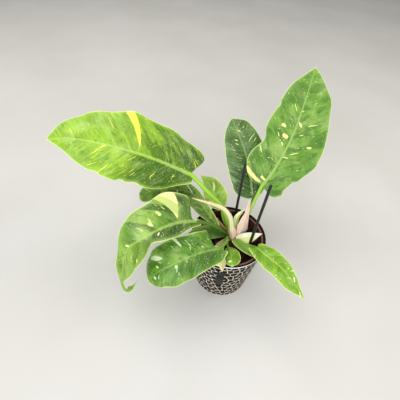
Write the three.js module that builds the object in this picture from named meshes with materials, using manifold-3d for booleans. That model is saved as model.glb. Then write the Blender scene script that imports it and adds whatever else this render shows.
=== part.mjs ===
// Potted ring of fire philodendron, in millimetres, +Z up.
// The origin is the centre of the pot's underside, and the pot's front faces -Y.
import * as THREE from 'three';
import { mergeVertices } from 'three/addons/utils/BufferGeometryUtils.js';
import Module from 'manifold-3d';

const wasm = await Module();
wasm.setup();

// Driving dimensions
const gap = 0.3;             // clearance between pieces that touch
const potHeight = 118;
const potRimRadius = 60;
const potBaseRadius = 48;
const potRimRound = 0.8;
const potFootRound = 1.5;
const potWall = 2.8;
const potFloor = 5;
const potSides = 52;
const nurseryTop = 116;      // top of the thin inner pot
const nurseryTopRadius = 54.3;
const nurseryFootRadius = 43.5;
const nurseryLip = 2.2;      // how far its lip stands out
const nurseryLipHeight = 5;
const nurseryWall = 1.2;
const nurserySides = 40;
const soilTop = 99;
const soilRelief = 1.6;      // height of the bark lumps
const soilRings = 8;
const stemRadius = 10;
const stemTop = 105;
const stemRoot = 84;         // lower end of the stem in the soil
const stemPlace = [8, 10];
const stakeRadius = 2.2;
const bladeThickness = 0.8;
const tipHalfWidth = 0.5;
const stalkSteps = 9;
const stalkSides = 8;
const rowCrowding = 0.1;      // how much closer a blade's rows stand at its two ends
const blade = { curl: 20, ribDepth: 0, round: [1, 1], tip: 0, notches: [], phase: [0, 0.3] };
const largeLeaf = { ...blade, rows: 24, columns: 8, waves: 4, ribDepth: 1 };
const smallLeaf = { ...blade, rows: 14, columns: 6, waves: 3, ribDepth: 0.5 };
const sheathForm = { ...blade, rows: 11, columns: 4, waves: 2, lobes: [0, 0], sweep: 0.03 };

// Materials
function finish(color, roughness) {
  return new THREE.MeshStandardMaterial({ color, roughness, metalness: 0 });
}
const finishes = {
  pot: finish('#7c6a58', 0.55),
  label: finish('#1b1a1a', 0.6),
  nursery: finish('#6d3b28', 0.6),
  soil: finish('#2b1c17', 0.95),
  stem: finish('#8aa04f', 0.6),
  stake: finish('#111112', 0.5),
  brightLeaf: finish('#8fb83a', 0.45),
  leaf: finish('#5d9440', 0.45),
  darkLeaf: finish('#3c6b2c', 0.45),
  creamSheath: finish('#e0dba0', 0.55),
  pinkSheath: finish('#d7a58e', 0.55),
  paperSheath: finish('#8d6b47', 0.7),
};

// Each leaf: rib points from the stalk's joint to the tip, stalk points from the stem,
// face directions from base to tip, half widths at even steps along the rib to the tip,
// notches in the margin, how far the two basal lobes reach back and the radius of their corners,
// the half width of a blunt tip, fold and curl in degrees, and the waved edge.
// A notch is a side, -1 for the left, a place along the rib from 0 to 1, a depth and a reach.
// Left and right are as seen from above, looking along the rib to the tip.
const leaves = {
  leaf_left: {
    ...largeLeaf,
    rib: [[-71, 58, 186], [-129, 50, 218], [-186, 46, 236], [-243, 46, 242], [-277, 43, 239]],
    stalk: [[2, 17, 101], [-4, 25, 122], [-14, 36, 140], [-40, 45, 163]],
    stalkRadius: 3.6,
    face: [[0, -0.5, 1], [0, -0.6, 1], [0, -0.5, 1]],
    left: [12, 25, 39, 47, 45, 47, 44, 40, 31, 16],
    right: [44, 48, 51, 55, 57, 58, 54, 47, 38, 27],
    notches: [[-1, 0.64, 1.5, 6], [-1, 0.565, -2.5, 13], [-1, 0.475, 2.5, 5], [-1, 0.38, 1.2, 6],
      [1, 0.18, 1.2, 7], [1, 0.42, 0.8, 5]],
    lobes: [10, 30], round: [8, 24], sweep: 0.08,
    foldLeft: [12, 12, 10], foldRight: [12, 12, 10],
    wave: 4, finish: finishes.brightLeaf,
  },
  leaf_right: {
    ...largeLeaf,
    rib: [[46, 66, 170], [62, 85, 188], [87, 130, 224], [105, 182, 258], [122, 242, 296]],
    stalk: [[15, 15, 101], [23, 26, 120], [32, 40, 140], [40, 54, 157]],
    stalkRadius: 2.9,
    face: [[-0.1, -0.8, 0.8], [0, -0.8, 0.8], [0, -0.7, 0.8]],
    left: [26, 45, 47, 40, 46, 45, 40, 37, 30, 16],
    right: [30, 38, 45, 56, 57, 53, 52, 46, 40, 24],
    notches: [[-1, 0.605, 1.4, 7], [1, 0.12, 5, 11]],
    lobes: [8, 9], round: [14, 14], sweep: 0.08,
    foldLeft: [12, 12, 10], foldRight: [12, 12, 10],
    wave: 3, finish: finishes.leaf,
  },
  leaf_drooping: {
    ...largeLeaf,
    rib: [[-50, -5, 150], [-79, -23, 165], [-103, -40, 168], [-128, -56, 160], [-146, -64, 144],
      [-152, -77, 116], [-153, -87, 94], [-147, -95, 84], [-140, -90, 83], [-133, -83, 88]],
    stalk: [[1, 11, 101], [-10, 7, 116], [-27, 3, 132]],
    stalkRadius: 3,
    face: [[0, -0.3, 1], [-0.2, -0.5, 1], [-0.8, -0.6, 0.5], [-0.8, -0.6, 0.3], [-0.5, -0.7, 0.2]],
    left: [6, 10, 16, 20, 19, 14, 29, 35, 28, 19, 8, 4],
    right: [36, 37, 41, 46, 41, 39, 31, 23, 16, 12, 9, 6],
    notches: [[1, 0, 33, 23]],
    lobes: [6, 22], round: [6, 4], sweep: 0.05,
    foldLeft: [10, 10, 10], foldRight: [30, 30, 20],
    wave: 3, finish: finishes.leaf,
  },
  leaf_back: {
    ...largeLeaf,
    rib: [[37, 66, 142], [23, 111, 180], [2, 141, 212], [-14, 158, 232]],
    stalk: [[11, 19, 101], [21, 32, 115], [34, 49, 128]],
    stalkRadius: 2.2,
    face: [[0, -0.8, 0.8], [0, -0.8, 0.8], [0, -0.7, 0.8]],
    left: [10, 29, 33, 36, 36, 36, 34, 30, 26, 17],
    right: [8, 20, 24, 24, 26, 29, 33, 31, 28, 21],
    lobes: [6, 4], round: [9, 9], sweep: 0.08,
    foldLeft: [12, 12, 10], foldRight: [12, 12, 10],
    wave: 2, finish: finishes.leaf,
  },
  leaf_low_left: {
    ...largeLeaf,
    rib: [[-17, -41, 136], [-39, -53, 142], [-72, -70, 138], [-97, -81, 126], [-108, -85, 115],
      [-114, -87, 102]],
    stalk: [[2, 6, 101], [-2, 0, 110], [-4, -19, 124]],
    stalkRadius: 2.2,
    face: [[0, -0.2, 1], [0, -0.3, 1], [-0.5, -0.4, 1]],
    left: [8, 19, 23, 27, 29, 30, 31, 29, 24, 20],
    right: [34, 34, 31, 32, 33, 34, 36, 34, 31, 26],
    notches: [[1, 0, 30, 12]],
    lobes: [26, 13], round: [14, 6], tip: 17, sweep: 0.08,
    foldLeft: [-10, -10, -10], foldRight: [10, 10, 5],
    wave: 3, finish: finishes.darkLeaf,
  },
  leaf_low_right: {
    ...largeLeaf,
    rib: [[44, -23, 122], [54, -35, 126], [81, -60, 125], [99, -78, 115], [114, -92, 102]],
    stalk: [[15, 4, 101], [28, -8, 108]],
    stalkRadius: 2,
    face: [[0, -0.2, 1], [0.1, -0.2, 1], [0.2, -0.2, 1]],
    left: [9, 13, 17, 17, 17, 15, 12, 10, 5, 3],
    right: [10, 14, 18, 20, 19, 20, 18, 17, 11, 4],
    lobes: [8, 13], round: [7, 5], sweep: 0.08,
    foldLeft: [12, 12, 10], foldRight: [12, 12, 10],
    wave: 1.5, finish: finishes.brightLeaf,
  },
  leaf_behind: {
    ...largeLeaf,
    rib: [[-20, 12, 122], [-41, 30, 138], [-65, 51, 150], [-99, 51, 156], [-131, 46, 152],
      [-151, 38, 138]],
    stalk: [[1, 14, 101], [-10, 15, 113]],
    stalkRadius: 1.8,
    face: [[0.2, -0.6, 1], [0, -0.6, 1], [-0.3, -0.5, 1]],
    left: [4, 9, 14, 18, 20, 20, 20, 20, 18, 14],
    right: [4, 7, 8, 9, 11, 15, 18, 20, 18, 14],
    lobes: [4, 4], round: [4, 4], tip: 9, sweep: 0.06,
    foldLeft: [15, 12, 10], foldRight: [15, 12, 10],
    wave: 2, finish: finishes.darkLeaf,
  },
  leaf_inner: {
    ...smallLeaf,
    rib: [[-15, 44, 128], [-26, 61, 140], [-39, 80, 148], [-55, 96, 150]],
    stalk: [[5, 18, 102], [-8, 28, 114]],
    stalkRadius: 1.5,
    face: [[0.1, -0.6, 1], [0, -0.6, 1], [0, -0.5, 1]],
    left: [5, 13, 18, 20, 18, 14, 9, 4],
    right: [5, 13, 18, 20, 19, 17, 14, 8],
    lobes: [4, 4], round: [8, 8], sweep: 0.06,
    foldLeft: [12, 12, 10], foldRight: [12, 12, 10],
    wave: 1.5, finish: finishes.leaf,
  },
  leaf_front: {
    ...smallLeaf,
    rib: [[0, -21, 113], [3, -36, 121], [4, -50, 124], [5, -60, 121]],
    stalk: [[4, 3, 102], [-1, -6, 107]],
    stalkRadius: 1.5,
    face: [[0, -0.4, 1], [0, -0.4, 1], [0, -0.5, 1]],
    left: [4, 9, 12, 14, 14, 15, 15, 14, 13, 9],
    right: [4, 6, 7, 8, 9, 11, 12, 12, 12, 8],
    lobes: [1, 1], round: [8, 8], sweep: 0.05,
    foldLeft: [-5, -5, -5], foldRight: [-5, -5, -5],
    wave: 1, finish: finishes.brightLeaf,
  },
};

// The sheaths that wrapped young leaves, in the same terms, with no stalk
const sheaths = {
  sheath_long: {
    ...sheathForm,
    rib: [[8, 1, 103], [6, 6, 118], [1, 13, 142], [-12, 17, 160], [-33, 16, 170], [-64, 21, 172]],
    face: [[0, -0.9, 0.3], [0.5, -0.8, 0.3], [0.3, -0.5, 1], [0.2, -0.5, 1], [0, -0.4, 1]],
    left: [4, 9, 7, 7, 7, 6, 5, 4, 3, 2, 1.5],
    right: [4, 14, 9, 7, 7, 6, 5, 4, 3, 2, 1.5],
    foldLeft: [-35, -35, -20], foldRight: [-35, -35, -20],
    wave: 0, finish: finishes.pinkSheath,
  },
  sheath_pink: {
    ...sheathForm,
    rib: [[18, 9, 103], [22, 17, 128], [26, 30, 152], [26, 37, 166]],
    face: [[0.1, -0.9, 0.2], [0.1, -0.9, 0.3], [0.1, -0.9, 0.5]],
    left: [4, 6, 8, 7, 6, 4, 3, 2],
    right: [8, 17, 15, 12, 9, 6, 4, 2],
    foldLeft: [-25, -25, -20], foldRight: [-25, -25, -20],
    wave: 0.5, finish: finishes.pinkSheath,
  },
  sheath_cream: {
    ...sheathForm,
    rib: [[14, 3, 104], [27, 1, 112], [41, 2, 119], [53, 4, 124]],
    face: [[0, -0.4, 1], [0, -0.4, 1], [0, -0.3, 1]],
    left: [5, 7, 8, 8, 7, 5, 3],
    right: [5, 11, 13, 12, 9, 6, 3],
    foldLeft: [10, 10, 5], foldRight: [10, 10, 5],
    wave: 0.5, finish: finishes.creamSheath,
  },
  sheath_green: {
    ...sheathForm,
    rib: [[10, -1, 105], [22, -16, 110], [32, -27, 114], [42, -40, 119.5]],
    face: [[0.3, -0.3, 1], [0.3, -0.3, 1], [0.3, -0.3, 1]],
    left: [5, 8, 9, 9, 7, 4],
    right: [5, 8, 9, 9, 7, 4],
    foldLeft: [30, 30, 20], foldRight: [30, 30, 20],
    wave: 0.5, finish: finishes.brightLeaf,
  },
  sheath_left: {
    ...sheathForm,
    rib: [[-4, 8, 104], [-14, 7, 107], [-27, 4, 112], [-42, -2, 121], [-65, -9, 123]],
    face: [[0, -0.4, 1], [0, -0.4, 1], [0, -0.4, 1]],
    left: [3, 6, 9, 11, 11, 9, 6],
    right: [3, 5, 7, 9, 10, 9, 6],
    foldLeft: [20, 20, 10], foldRight: [20, 20, 10],
    wave: 1, finish: finishes.leaf,
  },
  sheath_front: {
    ...sheathForm,
    rib: [[-2, 0, 104], [-12, -16, 110], [-16, -34, 118], [-15, -50, 124], [-11, -62, 126],
      [-9, -70, 121]],
    face: [[0, 0, 1], [0, -0.3, 1], [0, -0.5, 1]],
    left: [3, 5, 7, 8, 9, 9, 7],
    right: [3, 4, 6, 7, 7, 6, 5],
    foldLeft: [20, 20, 10], foldRight: [20, 20, 10],
    wave: 0.5, finish: finishes.creamSheath,
  },
  sheath_back: {
    ...sheathForm,
    rib: [[12, 17, 104], [11, 22, 118], [12, 27, 131], [22, 35, 145]],
    face: [[0.2, -0.8, 0.3], [0.2, -0.8, 0.4], [0.2, -0.6, 0.7]],
    left: [4, 5, 5, 5, 3],
    right: [4, 6, 6, 5, 3],
    foldLeft: [-20, -20, -20], foldRight: [-20, -20, -20],
    wave: 0, finish: finishes.creamSheath,
  },
  sheath_old: {
    ...sheathForm,
    rib: [[1, 15, 103], [-13, 16, 118], [-21, 24, 128]],
    face: [[-0.3, -0.8, 0.5], [-0.3, -0.8, 0.5], [-0.3, -0.8, 0.5]],
    left: [4, 5, 5, 4, 2],
    right: [4, 5, 5, 4, 2],
    foldLeft: [20, 20, 20], foldRight: [20, 20, 20],
    wave: 0.8, finish: finishes.paperSheath,
  },
};

// Stakes: foot in the soil to top
const stakes = {
  stake_1: [[11, 39, 76], [10, 58, 220]],
  stake_2: [[34, -9, 62], [38, -5, 240]],
};

// Value at u, from 0 to 1, of a smooth curve through evenly spaced values
function smooth(values, u) {
  const last = values.length - 1;
  const place = THREE.MathUtils.clamp(u, 0, 1) * last;
  const i = Math.min(Math.floor(place), last - 1);
  const w = place - i;
  const b = values[i];
  const c = values[i + 1];
  const a = i > 0 ? values[i - 1] : 2 * b - c;
  const d = i + 2 <= last ? values[i + 2] : 2 * c - b;
  const bend = 2 * a - 5 * b + 4 * c - d + w * (3 * (b - c) + d - a);
  return b + 0.5 * w * (c - a + w * bend);
}

function curveThrough(points) {
  return new THREE.CatmullRomCurve3(points.map((p) => new THREE.Vector3(...p)));
}

// Point, tangent, face direction and sideways direction of a rib, u running past its ends straight
function ribFrame(rib, face, u) {
  const held = THREE.MathUtils.clamp(u, 0, 1);
  const step = 0.02;
  const before = rib.getPointAt(Math.max(held - step, 0));
  const after = rib.getPointAt(Math.min(held + step, 1));
  const along = after.sub(before).normalize();
  const point = rib.getPointAt(held).addScaledVector(along, (u - held) * rib.getLength());
  const up = new THREE.Vector3(...[0, 1, 2].map((k) => smooth(face.map((f) => f[k]), held)));
  up.addScaledVector(along, -up.dot(along)).normalize();
  return { point, up, side: new THREE.Vector3().crossVectors(along, up) };
}

// Pulls the corner of an end into a round, from the distances to the end and to the side edge
function roundCorner(toEnd, toEdge, radius) {
  const a = 1 - toEnd / radius;
  const b = 1 - toEdge / radius;
  if (a <= 0 || b <= 0) {
    return [toEnd, toEdge];
  }
  return [radius * (1 - a * Math.sqrt(1 - (b * b) / 2)), radius * (1 - b * Math.sqrt(1 - (a * a) / 2))];
}

// Half width of one side of a blade at u, and the share of it that its notches leave
function widthAt(leaf, rib, u, right) {
  const full = Math.max(smooth([...(right ? leaf.right : leaf.left), leaf.tip], u), tipHalfWidth);
  let width = full;
  for (const [side, at, depth, reach] of leaf.notches) {
    if (right === side > 0) {
      width -= depth * Math.exp(-((((u - at) * rib.getLength()) / reach) ** 6));
    }
  }
  width = Math.max(width, tipHalfWidth);
  return [width, Math.min(width / full, 1)];
}

// A point of the blade's middle surface: along it from the base to the tip, t from -1 at the left edge
// to 1, both pulled in where a corner is round
function bladePoint(leaf, rib, along, t, grow) {
  const right = t >= 0;
  const side = right ? 1 : 0;
  const length = rib.getLength();
  const [width, left] = widthAt(leaf, rib, along, right);
  const baseRound = Math.min(leaf.round[side], 0.95 * width);
  const tipRound = Math.min(leaf.tip + 0.01, 0.95 * width);
  const [fromBase, inside] = roundCorner(along * length, (1 - Math.abs(t)) * width, baseRound);
  const [fromTip, toEdge] = roundCorner(length - fromBase, inside, tipRound);
  const u = 1 - fromTip / length;
  const out = 1 - toEdge / width;
  const halfWidth = width + grow;
  const atEdge = u - ((leaf.lobes[side] * left) / length) * (1 - u) ** 5;
  const atRib = u - leaf.sweep * Math.sin(Math.PI * u);
  const longer = (grow / length) * (2 * u - 1);
  const frame = ribFrame(rib, leaf.face, atRib + (atEdge - atRib) * out ** 1.3 + longer);
  const fold = smooth(right ? leaf.foldRight : leaf.foldLeft, u) - (leaf.curl * out) / 2;
  const angle = THREE.MathUtils.degToRad(fold);
  const turn = 2 * Math.PI * (leaf.waves * u + leaf.phase[right ? 1 : 0]);
  const fade = Math.sqrt(Math.sin(Math.PI * THREE.MathUtils.clamp(u, 0.04, 0.96)));
  const lift = halfWidth * out * Math.sin(angle) + leaf.wave * out * out * Math.sin(turn) * fade;
  return frame.point
    .addScaledVector(frame.side, Math.sign(t) * halfWidth * out * Math.cos(angle))
    .addScaledVector(frame.up, lift);
}

// Closed blade: the same split on both faces, joined round the rim, with the rib thicker below
function bladeGeometry(leaf, rib, grow) {
  const { rows, columns } = leaf;
  const middle = [];
  for (let i = 0; i <= rows; i += 1) {
    for (let j = 0; j <= columns; j += 1) {
      const u = i / rows - rowCrowding * Math.sin((2 * Math.PI * i) / rows);
      middle.push(bladePoint(leaf, rib, u, (2 * j) / columns - 1, grow));
    }
  }
  const at = (i, j) => i * (columns + 1) + j;
  const upper = [];
  const lower = [];
  for (let i = 0; i <= rows; i += 1) {
    for (let j = 0; j <= columns; j += 1) {
      const point = middle[at(i, j)];
      const alongRib = middle[at(Math.min(i + 1, rows), j)].clone();
      alongRib.sub(middle[at(Math.max(i - 1, 0), j)]);
      const across = middle[at(i, Math.min(j + 1, columns))].clone();
      across.sub(middle[at(i, Math.max(j - 1, 0))]);
      const normal = across.cross(alongRib).normalize();
      const ribDepth = j === columns / 2 ? leaf.ribDepth * (1 - i / rows) : 0;
      const half = bladeThickness / 2 + grow;
      upper.push(...point.clone().addScaledVector(normal, half).toArray());
      lower.push(...point.clone().addScaledVector(normal, -half - ribDepth).toArray());
    }
  }
  const under = (rows + 1) * (columns + 1);
  const index = [];
  const quad = (a, b, c, d) => index.push(a, b, c, a, c, d);
  for (let i = 0; i < rows; i += 1) {
    for (let j = 0; j < columns; j += 1) {
      const [a, b, c, d] = [at(i, j), at(i, j + 1), at(i + 1, j + 1), at(i + 1, j)];
      quad(a, b, c, d);
      index.push(under + a, under + c, under + b, under + a, under + d, under + c);
    }
    quad(at(i, 0), at(i + 1, 0), under + at(i + 1, 0), under + at(i, 0));
    quad(at(i + 1, columns), at(i, columns), under + at(i, columns), under + at(i + 1, columns));
  }
  for (let j = 0; j < columns; j += 1) {
    quad(at(0, j + 1), at(0, j), under + at(0, j), under + at(0, j + 1));
    quad(at(rows, j), at(rows, j + 1), under + at(rows, j + 1), under + at(rows, j));
  }
  const geometry = new THREE.BufferGeometry();
  geometry.setAttribute('position', new THREE.Float32BufferAttribute([...upper, ...lower], 3));
  geometry.setIndex(index);
  return geometry;
}

function tubeGeometry(path, radius, steps, sides) {
  const section = new THREE.Shape().absarc(0, 0, radius, 0, 2 * Math.PI);
  const options = { steps, curveSegments: sides / 2, bevelEnabled: false, extrudePath: path };
  return new THREE.ExtrudeGeometry(section, options);
}

function latheGeometry(profile, sides) {
  const points = profile.map(([r, z]) => new THREE.Vector2(r, z));
  return new THREE.LatheGeometry(points, sides).rotateX(Math.PI / 2);
}

// Booleans
function solidOf(geometry) {
  const bare = geometry.clone();
  bare.deleteAttribute('normal');
  bare.deleteAttribute('uv');
  const merged = mergeVertices(bare, 1e-4);
  const vertProperties = new Float32Array(merged.attributes.position.array);
  const triVerts = new Uint32Array(merged.index.array);
  return new wasm.Manifold(new wasm.Mesh({ numProp: 3, vertProperties, triVerts }));
}

function geometryOf(solid) {
  const mesh = solid.getMesh();
  const geometry = new THREE.BufferGeometry();
  geometry.setAttribute('position', new THREE.BufferAttribute(mesh.vertProperties, 3));
  geometry.setIndex(new THREE.BufferAttribute(mesh.triVerts, 1));
  return geometry;
}

function boxesMeet(a, b) {
  const [p, q] = [a.boundingBox(), b.boundingBox()];
  return [0, 1, 2].every((k) => p.min[k] <= q.max[k] && q.min[k] <= p.max[k]);
}

function cutBy(solid, others) {
  const near = others.filter((other) => boxesMeet(solid, other));
  const cut = near.reduce((left, other) => left.subtract(other), solid);
  return cut.decompose().sort((a, b) => b.volume() - a.volume())[0];
}

// A leaf with its stalk, or a sheath, made larger all round by grow
function leafSolid(leaf, grow) {
  const rib = curveThrough(leaf.rib);
  const blade = solidOf(bladeGeometry(leaf, rib, grow));
  if (!leaf.stalk) {
    return blade;
  }
  const joint = rib.getPointAt(leaf.stalkRadius / rib.getLength());
  const path = curveThrough([...leaf.stalk, leaf.rib[0]]);
  path.points.push(joint);
  path.points[0].addScaledVector(path.getTangent(0), -grow);
  const radius = leaf.stalkRadius + grow;
  return blade.add(solidOf(tubeGeometry(path, radius, stalkSteps, stalkSides)));
}

// The pot: a plain tapered cup with a thin rounded rim
const wallRadius = (z) => potBaseRadius + ((potRimRadius - potBaseRadius) * z) / potHeight;
const rimFoot = potHeight - potRimRound;
const potProfile = [
  [0, 0], [potBaseRadius - potFootRound, 0], [wallRadius(potFootRound), potFootRound],
  [wallRadius(rimFoot), rimFoot], [potRimRadius - potRimRound, potHeight],
  [potRimRadius - potWall + potRimRound, potHeight], [potRimRadius - potWall, rimFoot],
  [wallRadius(potFloor) - potWall, potFloor], [0, potFloor],
];
const potSolid = solidOf(latheGeometry(potProfile, potSides));

// The plain label, a strip cut from a thin shell that follows the pot's wall
const label = { angle: 7.5, width: 12, bottom: 49, top: 96, thickness: 0.5 };
const labelHeight = label.top - label.bottom;
const shellInner = [label.top + 1, label.bottom - 1].map((z) => [wallRadius(z) + gap, z]);
const shellOuter = shellInner.map(([r, z]) => [r + label.thickness, z]).reverse();
const shell = solidOf(latheGeometry([...shellOuter, ...shellInner, shellOuter[0]], potSides));
const labelWindow = new THREE.BoxGeometry(label.width, potRimRadius, labelHeight);
labelWindow.translate(0, -potRimRadius, label.bottom + labelHeight / 2);
labelWindow.rotateZ(THREE.MathUtils.degToRad(-label.angle));
const labelSolid = shell.intersect(solidOf(labelWindow));

// The nursery pot: a thin cup with a lip, standing on the outer pot's floor
const nurseryFoot = potFloor + gap;
const nurseryFloor = nurseryFoot + nurseryWall;
const nurseryLipFoot = nurseryTop - nurseryLipHeight;
const nurserySlope = (nurseryTopRadius - nurseryFootRadius) / (nurseryTop - nurseryFoot);
const nurseryRadius = (z) => nurseryFootRadius + nurserySlope * (z - nurseryFoot);
const nurseryProfile = [
  [0, nurseryFoot], [nurseryFootRadius, nurseryFoot],
  [nurseryRadius(nurseryLipFoot), nurseryLipFoot],
  [nurseryRadius(nurseryLipFoot) + nurseryLip, nurseryLipFoot],
  [nurseryTopRadius + nurseryLip, nurseryTop], [nurseryTopRadius - nurseryWall, nurseryTop],
  [nurseryRadius(nurseryFloor) - nurseryWall, nurseryFloor], [0, nurseryFloor],
];
const nurserySolid = solidOf(latheGeometry(nurseryProfile, nurserySides));

// The soil: fills the nursery pot, with lumps of bark raised from its top
const soilFoot = nurseryFloor + gap;
const soilRadius = (z) => nurseryRadius(z) - nurseryWall - gap;
const soilProfile = [[0, soilFoot], [soilRadius(soilFoot), soilFoot]];
for (let k = soilRings; k >= 0; k -= 1) {
  soilProfile.push([(soilRadius(soilTop) * k) / soilRings, soilTop]);
}
const soilGeometry = latheGeometry(soilProfile, nurserySides);
const soilPoints = soilGeometry.attributes.position;
for (let k = 0; k < soilPoints.count; k += 1) {
  const x = soilPoints.getX(k);
  const y = soilPoints.getY(k);
  if (soilPoints.getZ(k) > soilTop - 1) {
    const lumps = Math.sin(0.55 * x + 1.3) * Math.sin(0.5 * y) + Math.sin(0.31 * x - 0.42 * y);
    soilPoints.setZ(k, soilTop + (soilRelief / 2) * lumps);
  }
}

// The stem: a short crown that the stalks and sheaths rise from
const stemSides = 16;
function stemSolid(grow) {
  const radius = stemRadius + grow;
  const [foot, top] = [stemRoot - grow, stemTop + grow];
  const profile = [
    [0, foot], [radius - 3, foot], [radius, foot + 4], [radius, top - 4], [radius - 1.5, top - 1],
    [radius - 4, top], [0, top],
  ];
  return solidOf(latheGeometry(profile, stemSides).translate(...stemPlace, 0));
}

function stakeSolid([foot, top], grow) {
  const path = new THREE.LineCurve3(new THREE.Vector3(...foot), new THREE.Vector3(...top));
  path.v1.addScaledVector(path.getTangent(0), -grow);
  return solidOf(tubeGeometry(path, stakeRadius + grow, 1, stalkSides));
}

// Assembly: each leaf and sheath is cut clear of those before it, and the stem and soil of them all
const group = new THREE.Group();
function addPiece(name, solid, material) {
  const mesh = new THREE.Mesh(geometryOf(solid), material);
  mesh.name = name;
  group.add(mesh);
}

const clearances = [];
for (const [name, ends] of Object.entries(stakes)) {
  addPiece(name, stakeSolid(ends, 0), finishes.stake);
  clearances.push(stakeSolid(ends, gap));
}
for (const [name, leaf] of [...Object.entries(leaves), ...Object.entries(sheaths)]) {
  addPiece(name, cutBy(leafSolid(leaf, 0), clearances), leaf.finish);
  clearances.push(leafSolid(leaf, gap));
}
addPiece('stem', cutBy(stemSolid(0), clearances), finishes.stem);
clearances.push(stemSolid(gap));
addPiece('soil', cutBy(solidOf(soilGeometry), clearances), finishes.soil);
addPiece('nursery_pot', nurserySolid, finishes.nursery);
addPiece('outer_pot', potSolid, finishes.pot);
addPiece('pot_label', labelSolid, finishes.label);

export default group;
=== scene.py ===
# Potted ring of fire philodendron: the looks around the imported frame.
# The dictionaries are in millimetres, in the part's own frame, and the meshes in metres.
import math
import random

import bmesh
import bpy
import numpy as np
from mathutils import Matrix, Vector, kdtree, noise


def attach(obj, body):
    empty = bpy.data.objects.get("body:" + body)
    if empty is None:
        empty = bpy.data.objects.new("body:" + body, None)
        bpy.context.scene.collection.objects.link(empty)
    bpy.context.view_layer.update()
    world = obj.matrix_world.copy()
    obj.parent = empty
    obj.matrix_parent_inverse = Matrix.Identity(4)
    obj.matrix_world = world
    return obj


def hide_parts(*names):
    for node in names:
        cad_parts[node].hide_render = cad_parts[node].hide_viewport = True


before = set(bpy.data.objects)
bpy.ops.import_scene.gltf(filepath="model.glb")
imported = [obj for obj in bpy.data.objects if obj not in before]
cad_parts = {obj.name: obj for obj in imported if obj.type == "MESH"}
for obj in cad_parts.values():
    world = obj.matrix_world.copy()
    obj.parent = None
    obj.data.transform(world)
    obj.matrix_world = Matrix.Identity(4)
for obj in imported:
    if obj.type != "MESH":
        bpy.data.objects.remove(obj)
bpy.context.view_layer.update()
mm = 0.001


# Colours are written as they look on a screen, from 0 to 255
def tint(red, green, blue):
    channels = [c / 255 for c in (red, green, blue)]
    linear = [c / 12.92 if c <= 0.04045 else ((c + 0.055) / 1.055) ** 2.4 for c in channels]
    return (*linear, 1.0)


def colourOf(value):
    return tint(*value) if isinstance(value, tuple) and len(value) == 3 and max(value) > 1 else value


# A material, its nodes added one call at a time
class Finish:
    def __init__(self, name, constants):
        self.material = bpy.data.materials.new(name)
        self.material.use_nodes = True
        self.tree = self.material.node_tree
        self.shader = self.tree.nodes["Principled BSDF"]
        for socket, value in constants.items():
            self.shader.inputs[socket].default_value = colourOf(value)

    def feed(self, value, socket):
        if isinstance(value, bpy.types.NodeSocket):
            self.tree.links.new(value, socket)
        else:
            socket.default_value = colourOf(value)

    def node(self, kind, inputs, output=0, **settings):
        made = self.tree.nodes.new("ShaderNode" + kind)
        for name, value in settings.items():
            setattr(made, name, value)
        for key, value in inputs.items():
            self.feed(value, made.inputs[key])
        return made.outputs[output]

    def math(self, operation, *values):
        return self.node("Math", dict(enumerate(values)), operation=operation)

    def ease(self, value, low, high, start=0.0, end=1.0):
        ends = {"Value": value, "From Min": low, "From Max": high, "To Min": start, "To Max": end}
        return self.node("MapRange", ends, interpolation_type="SMOOTHSTEP")

    def times(self, first, second):
        return self.math("MULTIPLY", first, second)

    def mix(self, share, first, second):
        return self.node("Mix", {0: share, 6: first, 7: second}, output=2, data_type="RGBA")

    def attribute(self, name):
        return self.node("Attribute", {}, output="Fac", attribute_name=name)

    def place(self):
        return self.node("TexCoord", {}, output="Object")

    def vector(self, x, y, z):
        return self.node("CombineXYZ", {0: x, 1: y, 2: z})

    def noise(self, vector, scale, detail=2.0, rough=0.5):
        ends = {"Vector": vector, "Scale": scale, "Detail": detail, "Roughness": rough}
        return self.node("TexNoise", ends)

    # A pattern is a noise's scale, detail and roughness, the values where it starts and is full,
    # and how strong it is when full
    def pattern(self, vector, values):
        scale, detail, rough, start, full, strength = values
        return self.ease(self.noise(vector, scale, detail, rough), start, full, 0, strength)

    def bump(self, height, strength, distance):
        ends = {"Height": height, "Strength": strength, "Distance": distance}
        self.feed(self.node("Bump", ends), self.shader.inputs["Normal"])

    def finish(self, colour, roughness=None):
        self.feed(colour, self.shader.inputs["Base Color"])
        if roughness is not None:
            self.feed(roughness, self.shader.inputs["Roughness"])
        return self.material


# Camera: where the photograph was taken from, over the pot and tilted down, and the width of the
# photograph's frame in pixels
camera = {"place": (-52, -290, 508), "down": 47.4, "roll": 6.0, "lens": 27.0, "sensor": 36.0, "pixels": 400}


# The directions to the right, up and forward in the photograph
def viewAxes():
    down, roll = math.radians(camera["down"]), math.radians(camera["roll"])
    forward = Vector((0, math.cos(down), -math.sin(down)))
    up = Vector((0, math.sin(down), math.cos(down)))
    right = Vector((1, 0, 0))
    turnedRight = right * math.cos(roll) + up * math.sin(roll)
    return turnedRight, up * math.cos(roll) - right * math.sin(roll), forward


# Where points of the part lie in the photograph, in pixels, and their depth and the width of a
# pixel there, in millimetres
def inPhoto(points):
    right, up, forward = [(points - np.array(camera["place"])) @ np.array(axis) for axis in viewAxes()]
    focal, centre = camera["pixels"] * camera["lens"] / camera["sensor"], camera["pixels"] / 2
    return centre + focal * right / forward, centre - focal * up / forward, forward, forward / focal


def makeCamera():
    turnedRight, turnedUp, forward = viewAxes()
    data = bpy.data.cameras.new("camera")
    data.lens = camera["lens"]
    data.sensor_width = camera["sensor"]
    data.clip_start = 0.01
    viewer = bpy.data.objects.new("camera", data)
    bpy.context.scene.collection.objects.link(viewer)
    turned = Matrix((turnedRight, turnedUp, -forward)).transposed().to_4x4()
    viewer.matrix_world = Matrix.Translation(Vector(camera["place"]) * mm) @ turned
    bpy.context.scene.camera = viewer


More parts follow.
